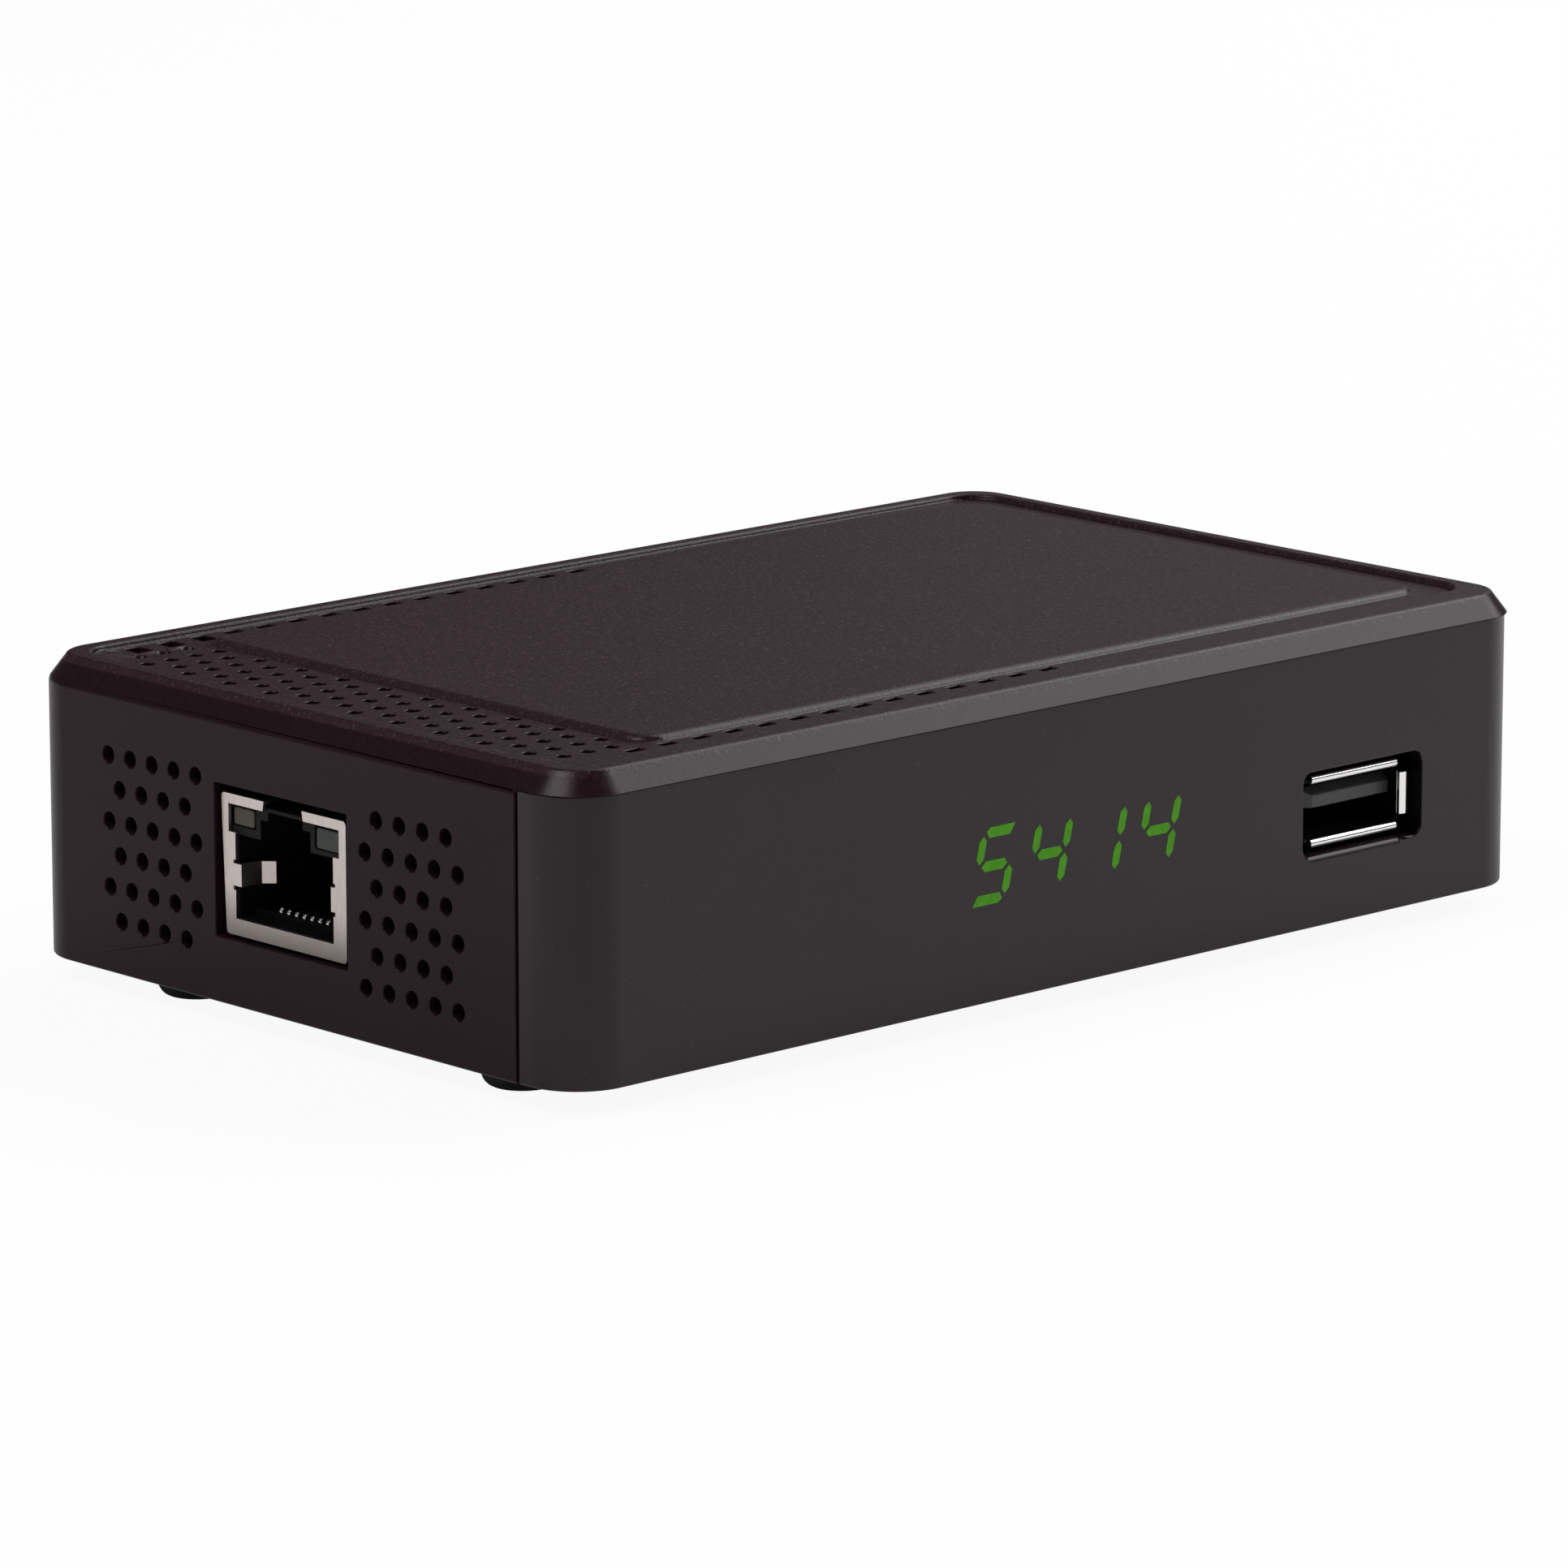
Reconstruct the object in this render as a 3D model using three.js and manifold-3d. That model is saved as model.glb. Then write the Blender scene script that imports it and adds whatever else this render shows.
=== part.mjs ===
// Digital television receiver: a small set-top box, millimetres, +Z up.
// The casing is drawn about the centre of its floor, with the front at -Y and
// the network jack on the -X wall. The outer group then moves the whole box so
// that the origin lies under the middle of its bounding box, feet on z = 0.
import * as THREE from 'three';
import { mergeGeometries, mergeVertices } from 'three/addons/utils/BufferGeometryUtils.js';
import Module from 'manifold-3d';

const wasm = await Module();
wasm.setup();

// Casing
const case_width = 115.8;
const case_depth = 71.9;
const case_height = 26.7;
const corner_radius = 5.4;
const wall = 2;
const roof = 2.4;
const chamfer_run = 1.69;
const chamfer_drop = 2.22;
const rim_lift = 0.18;
const hem = 0.5;
const fit = 0.3;
const overrun = 1;
const corner_steps = 8;

// Recessed ring in the roof, with the raised plateau inside it
const ring_depth = 0.55;
const rim_front = 3.1;
const rim_side = 1.5;
const ring_radius = 3.6;
const channel = 3.45;
const vent_band = 12.05;
const plateau_radius = 2;
const plateau_steps = 3;

// Round vents at the left of the roof, and slots in the front and back channels
const roof_vent_radius = 0.63;
const roof_vent_step_x = 1.335;
const roof_vent_step_y = 2.763;
const roof_vent_edge = 1.44;
const roof_vent_front = 0.98;
const roof_vent_sides = 8;
const slot_width = 1.8;
const slot_length = 2.1;
const slot_pitch = 3.69;
const slot_row_share = 0.47;
const slot_start = 5.8;
const slot_count = 15;

// Round vents in the left wall, in two blocks beside the network jack
const side_vent_radius = 0.76;
const side_vent_pitch_y = 2.94;
const side_vent_pitch_z = 2.916;
const side_vent_columns = 5;
const side_vent_rows = 6;
const side_vent_top = 7.45;
const side_vent_back = 11.14;
const side_vent_front = 11.01;
const side_vent_sides = 12;

// Front panel, which wraps round the two front corners
const panel_setback = 0.44;
const panel_side_gap = 0.1;
const panel_wrap = 7.21;
const lap_length = 3.2;
const lap_wall = 0.9;
const lap_margin = 3;

// Bottom cover, its feet and the screws that hold the casing together
const floor_gap = 0.4;
const floor_wall = 2;
const foot_radius = 3;
const foot_flat_share = 0.72;
const foot_stand = 2.2;
const foot_sink = 0.5;
const foot_inset_x = 6.4;
const foot_front_share = 0.683;
const foot_post_spacing = 6.75;
const foot_sides = 20;
const post_radius = 3;
const post_inset_x = 7.6;
const post_jack_gap = 5.05;
const post_back_inset = 9.2;
const post_sides = 16;
const screw_radius = 1.3;
const screw_head_radius = 2.6;
const screw_head_height = 1;
const screw_length = 8.5;
const screw_sides = 12;
const floor_slot_width = 1.6;
const floor_slot_length = 11;
const floor_slot_pitch = 3.4;
const floor_slot_count = 9;
const floor_slot_place_share = -0.13;

// Main circuit board
const board_level = 4.42;
const board_thick = 1.6;
const board_side_gap = 1.2;
const board_front_gap = 1.6;
const standoff_radius = 3;
const board_screw_radius = 1.2;
const board_screw_head_radius = 2.4;
const board_screw_head_height = 1.4;
const board_screw_place_shares = {
  front_left: [-0.351, -0.327],
  front_right: [0.193, -0.327],
  rear_left: [-0.26, 0.242],
  rear_right: [0.425, 0.114],
};

// Rear panel
const window_side = 9;
const window_rise_share = 0.535;
const flange_wall = 1.5;
const flange_lap = 2.5;
const pad_setback = 0.5;

// Network jack on the left wall
const jack_width = 16;
const jack_height = 12.3;
const jack_depth = 20;
const jack_offset = 1.37;
const jack_recess = 0.5;
const jack_gap_side = 0.67;
const jack_gap_top = 0.8;
const jack_sheet = 0.35;
const jack_side_strip = 1.45;
const jack_top_strip = 0.85;
const jack_bottom_strip = 1.5;
const lamp_width = 3.1;
const lamp_height = 1.9;
const lamp_depth = 4;
const lamp_edge = 0.85;
const lamp_recess = 0.35;
const latch_width = 4.8;
const latch_channel_width = 6.6;
const port_width = 12.2;
const port_depth = 12.5;
const finger_height = 1.93;
const finger_reach = 1.1;
const finger_length = 3.2;
const finger_lean = 18;
const finger_notch = 0.3;
const jack_contact_count = 8;
const jack_contact_pitch = 1.02;
const jack_contact_width = 0.42;
const jack_contact_thick = 0.35;
const jack_contact_inset = 2.08;
const jack_contact_rise = 1.17;
const jack_contact_climb = 0.75;
const jack_contact_length = 7.6;

// Serial bus socket at the right of the front panel
const port_cut_width = 15.2;
const port_cut_height = 7.85;
const port_cut_radius = 1;
const port_place_share = 0.3128;
const port_axis = 10.07;
const bus_width = 13.1;
const bus_height = 5.72;
const bus_depth = 14;
const bus_recess = 1;
const bus_sheet = 0.35;
const bus_lip = 0.75;
const bus_flare = 0.42;
const bus_lip_corner = 1.1;
const bus_lip_side_corner = 0.93;
const bus_leg_width = 2.2;
const bus_tongue_width = 11.1;
const bus_tongue_thick = 1.84;
const bus_tongue_recess = 1.6;
const bus_tongue_place = 0.2;
const bus_block_depth = 3;
const bus_contact_count = 4;
const bus_contact_pitch = 2.25;
const bus_contact_width = 1.1;
const bus_contact_thick = 0.25;

// Number display and remote-control eye behind the front panel
const display_width = 30.1;
const display_thick = 6.2;
const display_axis = 11.92;
const display_place_share = 0.001;
const display_pocket = 0.85;
const digit_well = 0.3;
const digit_count = 4;
const digit_pitch = 6.65;
const digit_well_width = 5.6;
const digit_well_height = 7.6;
const eye_width = 5.6;
const eye_thick = 3.2;
const eye_height = 7;
const eye_lens_radius = 2.2;
const eye_place_share = -0.22;

// Sockets on the rear panel
const power_place_share = -0.342;
const power_width = 9;
const power_height = 11;
const power_depth = 14;
const power_bore = 2.8;
const power_bore_depth = 9;
const power_bore_level = 6;
const power_pin_radius = 0.95;
const video_place_share = -0.19;
const video_width = 15.2;
const video_height = 5.7;
const video_depth = 12;
const video_sheet = 0.4;
const video_taper = 1.9;
const video_shoulder = 2.2;
const video_tongue_width = 10.9;
const video_tongue_thick = 1.2;
const audio_place_share = -0.045;
const audio_width = 7.6;
const audio_height = 6.4;
const audio_depth = 12;
const audio_nose_radius = 2.9;
const audio_bore = 1.8;
const aerial_place_share = 0.23;
const aerial_pitch = 15;
const aerial_reach = 8.5;
const aerial_level = 6.6;
const aerial_radius = 4.75;
const aerial_sheet = 0.55;
const aerial_nut_radius = 5.5;
const aerial_core_radius = 2.6;
const aerial_core_bore = 1.25;
const aerial_pin_radius = 1.15;
const aerial_sides = 20;
const tuner_margin = 8.2;
const tuner_depth = 22;
const tuner_height = 12.4;
const tuner_sheet = 0.5;

// Parts soldered to the main board: width, depth, height, and place as shares of the case
const chip = { width: 15, depth: 15, height: 1.3, gap: 5.4, y_share: -0.03 };
const heat_sink = { width: 19, depth: 19, height: 7.5, base: 1.6, fins: 7, fin_share: 0.45 };
const memory = { width: 9, depth: 13, height: 1.1, gap: 3.4 };
const flash = { width: 6, depth: 5, height: 1.7, x_share: -0.1, y_share: -0.26 };
const transformer = { width: 7, depth: 12.5, height: 5.4, gap: 1.6 };
const inductor = { width: 7, depth: 7, height: 3.6, x_share: -0.15 };
const crystal = { width: 11, depth: 4.6, height: 3.4, x_share: 0.08, y_share: -0.26 };
const capacitor_radius = 3.15;
const capacitor_height = 8;
const capacitor_groove = 0.3;
const capacitor_gap = 2.9;
const capacitor_left_share = -0.05;
const capacitor_right_share = 0.02;

// Levels and half sizes that follow from the sizes above
const half_width = case_width / 2;
const half_depth = case_depth / 2;
const inner_x = half_width - wall;
const inner_y = half_depth - wall;
const rim_level = case_height - chamfer_drop;
const front_rim_level = rim_level + rim_lift;
const roof_level = case_height - roof;
const ring_level = case_height - ring_depth;
const floor_level = floor_gap + floor_wall;
const board_top = board_level + board_thick;
const seam_y = panel_wrap - half_depth;
const jack_face = jack_recess - half_width;
const jack_top = board_top + jack_height;
const port_x = port_place_share * case_width;
const bus_face = panel_setback + bus_recess - half_depth;
const power_row_y = inner_y - flange_wall - fit - audio_depth - capacitor_gap - capacitor_radius;
const transformer_x = jack_face + jack_depth + transformer.gap + transformer.width / 2;
const chip_x = transformer_x + transformer.width / 2 + chip.gap + heat_sink.width / 2;
const chip_y = chip.y_share * case_depth;
const memory_x = chip_x + heat_sink.width / 2 + memory.gap + memory.width / 2;
const tuner_back = inner_y - flange_wall - fit;
const aerial_axis = board_top + aerial_level;
const aerial_top = aerial_axis + aerial_nut_radius;
const window_level = aerial_top + window_rise_share * (roof_level - aerial_top);

const finishes = {
  cover: new THREE.MeshStandardMaterial({ color: '#3b3436', roughness: 0.55, metalness: 0 }),
  panel: new THREE.MeshStandardMaterial({ color: '#3c383a', roughness: 0.35, metalness: 0 }),
  rubber: new THREE.MeshStandardMaterial({ color: '#161415', roughness: 0.8, metalness: 0 }),
  steel: new THREE.MeshStandardMaterial({ color: '#a89f9b', roughness: 0.35, metalness: 1 }),
  chrome: new THREE.MeshStandardMaterial({ color: '#e6e2e0', roughness: 0.15, metalness: 1 }),
  gold: new THREE.MeshStandardMaterial({ color: '#d8b25a', roughness: 0.25, metalness: 1 }),
  plastic: new THREE.MeshStandardMaterial({ color: '#171617', roughness: 0.5, metalness: 0 }),
  board: new THREE.MeshStandardMaterial({ color: '#1f4a2c', roughness: 0.5, metalness: 0 }),
  amber: new THREE.MeshStandardMaterial({ color: '#5e5a35', roughness: 0.4, metalness: 0 }),
  green: new THREE.MeshStandardMaterial({ color: '#2c5548', roughness: 0.4, metalness: 0 }),
  pale: new THREE.MeshStandardMaterial({ color: '#d9d6cc', roughness: 0.5, metalness: 0 }),
};

// Solids: each of these turns a closed three.js geometry into one that can be cut
const weld = 1e-4;

function solid(geometry) {
  geometry.deleteAttribute('normal');
  geometry.deleteAttribute('uv');
  const welded = mergeVertices(geometry, weld);
  return new wasm.Manifold(new wasm.Mesh({
    numProp: 3,
    vertProperties: Float32Array.from(welded.attributes.position.array),
    triVerts: Uint32Array.from(welded.index.array),
  }));
}

function surface(shape) {
  const mesh = shape.getMesh();
  const geometry = new THREE.BufferGeometry();
  geometry.setAttribute('position', new THREE.BufferAttribute(mesh.vertProperties, mesh.numProp));
  geometry.setIndex(new THREE.BufferAttribute(mesh.triVerts, 1));
  const faceted = geometry.toNonIndexed();
  faceted.computeVertexNormals();
  return faceted;
}

function block([x0, x1], [y0, y1], [z0, z1]) {
  const box = new THREE.BoxGeometry(x1 - x0, y1 - y0, z1 - z0);
  return box.translate((x0 + x1) / 2, (y0 + y1) / 2, (z0 + z1) / 2);
}

function arc(cx, cy, radius, start, turn, steps) {
  const points = [];
  for (let i = 0; i <= steps; i += 1) {
    const angle = start + (turn * i) / steps;
    points.push(new THREE.Vector2(cx + radius * Math.cos(angle), cy + radius * Math.sin(angle)));
  }
  return points;
}

function rounded_points([x0, x1], [y0, y1], radius, steps) {
  const quarter = Math.PI / 2;
  return [
    ...arc(x0 + radius, y0 + radius, radius, -Math.PI, quarter, steps),
    ...arc(x1 - radius, y0 + radius, radius, -quarter, quarter, steps),
    ...arc(x1 - radius, y1 - radius, radius, 0, quarter, steps),
    ...arc(x0 + radius, y1 - radius, radius, quarter, quarter, steps),
  ];
}

function rounded_shape(x, y, radius, steps) {
  return new THREE.Shape(rounded_points(x, y, radius, steps));
}

function disc(cx, cy, radius, sides) {
  return new THREE.Shape(arc(cx, cy, radius, Math.PI / sides, 2 * Math.PI, sides).slice(1));
}

// A shape drawn in (x, y), (y, z) or (x, z), pushed along z, x or y from lo to hi
function prism(shape, axis, lo, hi) {
  const geometry = new THREE.ExtrudeGeometry(shape, { depth: hi - lo, bevelEnabled: false });
  const x = new THREE.Vector3(1, 0, 0);
  const y = new THREE.Vector3(0, 1, 0);
  const z = new THREE.Vector3(0, 0, 1);
  if (axis === 'z') {
    return geometry.translate(0, 0, lo);
  }
  if (axis === 'x') {
    return geometry.applyMatrix4(new THREE.Matrix4().makeBasis(y, z, x)).translate(lo, 0, 0);
  }
  const back = y.clone().negate();
  return geometry.applyMatrix4(new THREE.Matrix4().makeBasis(x, z, back)).translate(0, hi, 0);
}

// A closed skin through rings of the same number of points, from the lowest up
function loft(rings) {
  const count = rings[0].points.length;
  const positions = rings.flatMap((ring) => ring.points.flatMap((p) => [p.x, p.y, ring.z]));
  const index = [];
  for (let level = 1; level < rings.length; level += 1) {
    const low = (level - 1) * count;
    const high = level * count;
    for (let i = 0; i < count; i += 1) {
      const next = (i + 1) % count;
      index.push(low + i, low + next, high + next, low + i, high + next, high + i);
    }
  }
  const top = (rings.length - 1) * count;
  const bottom_faces = THREE.ShapeUtils.triangulateShape(rings[0].points, []);
  const top_faces = THREE.ShapeUtils.triangulateShape(rings[rings.length - 1].points, []);
  bottom_faces.forEach(([a, b, c]) => index.push(a, c, b));
  top_faces.forEach(([a, b, c]) => index.push(top + a, top + b, top + c));
  const geometry = new THREE.BufferGeometry();
  geometry.setAttribute('position', new THREE.Float32BufferAttribute(positions, 3));
  geometry.setIndex(index);
  return geometry;
}

// A profile of [radius, height] pairs turned about an axis that starts at lo
function turned(profile, axis, cu, cv, lo, sides) {
  const points = profile.map(([radius, height]) => new THREE.Vector2(radius, height));
  const lathe = new THREE.LatheGeometry(points, sides).rotateX(Math.PI / 2);
  if (axis === 'z') {
    return lathe.translate(cu, cv, lo);
  }
  return lathe.rotateX(-Math.PI / 2).translate(cu, lo, cv);
}

function plain(list) {
  return mergeGeometries(list.map((geometry) => {
    const loose = geometry.index ? geometry.toNonIndexed() : geometry;
    loose.deleteAttribute('normal');
    loose.deleteAttribute('uv');
    return loose;
  }));
}

function cut(body, ...tools) {
  return tools.reduce((left, tool) => left.subtract(solid(tool)), body);
}

function join(...pieces) {
  return pieces.map(solid).reduce((left, piece) => left.add(piece));
}

function inset_ring(inset, z) {
  const x = [inset - half_width, half_width - inset];
  const y = [inset - half_depth, half_depth - inset];
  return { points: rounded_points(x, y, corner_radius - inset, corner_steps), z };
}

function inset_prism(inset, lo, hi) {
  const shape = new THREE.Shape(inset_ring(inset, 0).points);
  return prism(shape, 'z', lo, hi);
}

// Places that several pieces share
function corner_places(inset_x, front_y, back_inset) {
  const x = half_width - inset_x;
  return {
    front_left: [-x, front_y],
    front_right: [x, front_y],
    rear_left: [-x, half_depth - back_inset],
    rear_right: [x, half_depth - back_inset],
  };
}

const post_front_y = jack_offset - jack_width / 2 - post_jack_gap - post_radius;
const post_places = corner_places(post_inset_x, post_front_y, post_back_inset);
const foot_room = post_front_y - post_radius + inner_y;
const foot_places = corner_places(
  foot_inset_x,
  foot_front_share * foot_room - inner_y,
  post_back_inset + foot_post_spacing,
);
const board_screw_places = Object.fromEntries(
  Object.entries(board_screw_place_shares).map(([name, [x_share, y_share]]) => (
    [name, [x_share * case_width, y_share * case_depth]]
  )),
);

// Roof recess: the outer ring and the plateau, in x and y
const ring_x = [chamfer_run + rim_side - half_width, half_width - chamfer_run - rim_side];
const ring_y = [chamfer_run + rim_front - half_depth, half_depth - chamfer_run - rim_side];
const plateau_x = [ring_x[0] + vent_band, ring_x[1] - channel];
const plateau_y = [ring_y[0] + channel, ring_y[1] - channel];

function roof_vents() {
  const columns = Math.floor((vent_band - 2 * roof_vent_edge) / roof_vent_step_x) + 1;
  const first_y = plateau_y[0] + roof_vent_front;
  const rows = Math.floor((plateau_y[1] - roof_vent_front - first_y) / roof_vent_step_y) + 1;
  const holes = [];
  for (let column = 0; column < columns; column += 1) {
    const x = plateau_x[0] - roof_vent_edge - column * roof_vent_step_x;
    for (let row = (column + 1) % 2; row < rows; row += 2) {
      const shape = disc(x, first_y + row * roof_vent_step_y, roof_vent_radius, roof_vent_sides);
      holes.push(prism(shape, 'z', roof_level - overrun, case_height));
    }
  }
  return plain(holes);
}

function roof_slots() {
  const first = ring_x[0] + slot_start;
  const rows = [
    { y: ring_y[0] + slot_row_share * channel, start: 1 },
    { y: ring_y[1] - slot_row_share * channel, start: 0 },
  ];
  const slots = [];
  rows.forEach(({ y, start }) => {
    for (let i = start; i < slot_count; i += 1) {
      const x = first + i * slot_pitch;
      const across = [x - slot_width / 2, x + slot_width / 2];
      const along = [y - slot_length / 2, y + slot_length / 2];
      slots.push(block(across, along, [roof_level - overrun, case_height]));
    }
  });
  return plain(slots);
}

function side_vents() {
  const holes = [];
  const blocks = [
    { start: jack_offset + side_vent_back, step: side_vent_pitch_y, full: 0 },
    { start: jack_offset - side_vent_front, step: -side_vent_pitch_y, full: 1 },
  ];
  blocks.forEach(({ start, step, full }) => {
    for (let row = 0; row < side_vent_rows; row += 1) {
      const short = row % 2 === full ? 0 : 1;
      const z = case_height - side_vent_top - row * side_vent_pitch_z;
      for (let i = 0; i < side_vent_columns - short; i += 1) {
        const y = start + step * (i + short / 2);
        const shape = disc(y, z, side_vent_radius, side_vent_sides);
        holes.push(prism(shape, 'x', -half_width - overrun, overrun - inner_x));
      }
    }
  });
  return plain(holes);
}

function ring_recess() {
  const ring = rounded_shape(ring_x, ring_y, ring_radius, corner_steps);
  ring.holes.push(new THREE.Path(
    rounded_points(plateau_x, plateau_y, plateau_radius, plateau_steps).reverse(),
  ));
  return prism(ring, 'z', ring_level, case_height + overrun);
}

function post(place, hole_radius) {
  const shape = disc(place[0], place[1], post_radius, post_sides);
  shape.holes.push(disc(place[0], place[1], hole_radius, post_sides));
  return prism(shape, 'z', floor_level, roof_level + fit);
}

function jack_cut() {
  const y = [jack_offset - jack_width / 2 - jack_gap_side, jack_offset + jack_width / 2 + jack_gap_side];
  return block([-half_width - overrun, overrun - inner_x], y, [board_top - fit, jack_top + jack_gap_top]);
}

function rear_window(clearance, y) {
  const x = half_width - window_side - clearance;
  return block([-x, x], y, [-overrun, window_level - clearance]);
}

function top_cover() {
  const skin = loft([
    inset_ring(hem, 0),
    inset_ring(0, hem),
    inset_ring(0, rim_level),
    inset_ring(chamfer_run, case_height),
  ]);
  const front = block(
    [-half_width - overrun, half_width + overrun],
    [-half_depth - overrun, seam_y + fit / 2],
    [-overrun, front_rim_level],
  );
  const shell = cut(
    solid(skin),
    inset_prism(wall, -overrun, roof_level),
    front,
    rear_window(0, [inner_y - overrun, half_depth + overrun]),
    jack_cut(),
    side_vents(),
    ring_recess(),
    roof_vents(),
    roof_slots(),
  );
  const posts = Object.values(post_places).map((place) => solid(post(place, screw_radius + fit)));
  return surface(posts.reduce((whole, piece) => whole.add(piece), shell));
}

function lap_tongue(side) {
  const end = seam_y - fit / 2;
  const z = [board_top + lap_margin, rim_level - lap_margin];
  const order = (a, b) => (side > 0 ? [a, b] : [-b, -a]);
  const inside = inner_x - fit - lap_wall;
  const root = block(order(inside, inner_x + fit), [end - lap_length, end], z);
  const tongue = block(order(inside, inner_x - fit), [end - lap_length, end + lap_length], z);
  return [root, tongue];
}

function port_cut() {
  const x = [port_x - port_cut_width / 2, port_x + port_cut_width / 2];
  const z = [port_axis - port_cut_height / 2, port_axis + port_cut_height / 2];
  const shape = rounded_shape(x, z, port_cut_radius, plateau_steps);
  return prism(shape, 'y', -half_depth - overrun, overrun - inner_y);
}

const display_half_height = display_axis - board_top;
const display_x = display_place_share * case_width;
const display_face = wall - half_depth - display_pocket + fit;

function display_recess() {
  const half = display_width / 2 + fit;
  return block(
    [display_x - half, display_x + half],
    [display_face - fit, overrun - inner_y],
    [board_top - fit, display_axis + display_half_height + fit],
  );
}

function panel_ring(inset, z) {
  const x = half_width - panel_side_gap - inset;
  const y = [panel_setback + inset - half_depth, half_depth - inset];
  return { points: rounded_points([-x, x], y, corner_radius - inset, corner_steps), z };
}

function front_panel() {
  const skin = loft([panel_ring(hem, 0), panel_ring(0, hem), panel_ring(0, front_rim_level - fit)]);
  const behind = block(
    [-half_width, half_width],
    [seam_y - fit / 2, half_depth + overrun],
    [-overrun, case_height],
  );
  const bare = cut(solid(skin), inset_prism(wall, -overrun, case_height), behind);
  const laps = [...lap_tongue(1), ...lap_tongue(-1)].map(solid);
  const whole = laps.reduce((left, lap) => left.add(lap), bare);
  return surface(cut(whole, port_cut(), display_recess()));
}

function floor_slots() {
  const first_x = floor_slot_place_share * case_width - ((floor_slot_count - 1) / 2) * floor_slot_pitch;
  const slots = [];
  for (let i = 0; i < floor_slot_count; i += 1) {
    const x = first_x + i * floor_slot_pitch;
    const half = floor_slot_width / 2;
    const shape = rounded_shape(
      [x - half, x + half],
      [-floor_slot_length / 2, floor_slot_length / 2],
      half,
      plateau_steps,
    );
    slots.push(prism(shape, 'z', -overrun, floor_level + overrun));
  }
  return plain(slots);
}

function bottom_cover() {
  const plate = solid(inset_prism(wall + fit, floor_gap, floor_level));
  const standoffs = Object.values(board_screw_places).map(([x, y]) => (
    prism(disc(x, y, standoff_radius, post_sides), 'z', floor_gap + fit, board_level)
  ));
  const raised = standoffs.reduce((whole, piece) => whole.add(solid(piece)), plate);
  const pilots = Object.values(board_screw_places).map(([x, y]) => (
    prism(disc(x, y, board_screw_radius + fit, screw_sides), 'z', floor_gap + floor_wall / 2, board_top)
  ));
  const pockets = Object.values(foot_places).map(([x, y]) => (
    prism(disc(x, y, foot_radius + fit, foot_sides), 'z', -overrun, floor_gap + foot_sink)
  ));
  const screw_holes = Object.values(post_places).flatMap(([x, y]) => [
    prism(disc(x, y, screw_head_radius + fit, screw_sides), 'z', -overrun, floor_gap + screw_head_height),
    prism(disc(x, y, screw_radius + fit, screw_sides), 'z', -overrun, board_top),
  ]);
  return surface(cut(raised, ...pilots, ...pockets, ...screw_holes, floor_slots()));
}

function foot([x, y]) {
  const flat = foot_radius * foot_flat_share;
  const height = foot_stand + floor_gap + foot_sink;
  const shoulder = foot_stand * foot_flat_share;
  const dome = arc(flat, shoulder, foot_radius - flat, -Math.PI / 2, Math.PI / 2, plateau_steps);
  const stretch = dome.map((p) => [p.x, shoulder + (p.y - shoulder) * (shoulder / (foot_radius - flat))]);
  return turned([[0, 0], ...stretch, [foot_radius, height], [0, height]], 'z', x, y, -foot_stand, foot_sides);
}

function case_screw([x, y]) {
  const head_top = floor_gap + screw_head_height;
  const profile = [
    [0, 0],
    [screw_head_radius, 0],
    [screw_head_radius, screw_head_height - fit],
    [screw_radius, screw_head_height - fit],
    [screw_radius, screw_length],
    [0, screw_length],
  ];
  return turned(profile, 'z', x, y, head_top - screw_head_height + fit, screw_sides);
}

function board_screw([x, y]) {
  const shank = board_top - floor_level;
  const profile = [
    [0, 0],
    [board_screw_radius, 0],
    [board_screw_radius, shank],
    [board_screw_head_radius, shank],
    [board_screw_head_radius, shank + board_screw_head_height],
    [0, shank + board_screw_head_height],
  ];
  return turned(profile, 'z', x, y, floor_level, screw_sides);
}

function main_board() {
  const x = inner_x - board_side_gap;
  const plate = block(
    [-x, x],
    [board_front_gap - inner_y, tuner_back - fit],
    [board_level, board_top],
  );
  const notch = post_radius + fit;
  const notches = Object.values(post_places).map(([px, py]) => (
    block(px > 0 ? [px - notch, half_width] : [-half_width, px + notch], [py - notch, py + notch], [0, case_height])
  ));
  const holes = Object.values(board_screw_places).map(([px, py]) => (
    prism(disc(px, py, board_screw_radius + fit, screw_sides), 'z', 0, case_height)
  ));
  return surface(cut(solid(plate), ...notches, ...holes));
}

// Places on the rear wall
const power_x = power_place_share * case_width;
const video_x = video_place_share * case_width;
const audio_x = audio_place_share * case_width;
const aerial_x = [
  aerial_place_share * case_width - aerial_pitch / 2,
  aerial_place_share * case_width + aerial_pitch / 2,
];
const pad_face = half_depth - pad_setback;

function video_shape(grow) {
  const half = video_width / 2 + grow;
  const foot_half = half - video_taper;
  const low = board_top - grow;
  const high = board_top + video_height + grow;
  return new THREE.Shape([
    new THREE.Vector2(video_x - foot_half, low),
    new THREE.Vector2(video_x + foot_half, low),
    new THREE.Vector2(video_x + half, low + video_shoulder),
    new THREE.Vector2(video_x + half, high),
    new THREE.Vector2(video_x - half, high),
    new THREE.Vector2(video_x - half, low + video_shoulder),
  ]);
}

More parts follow.
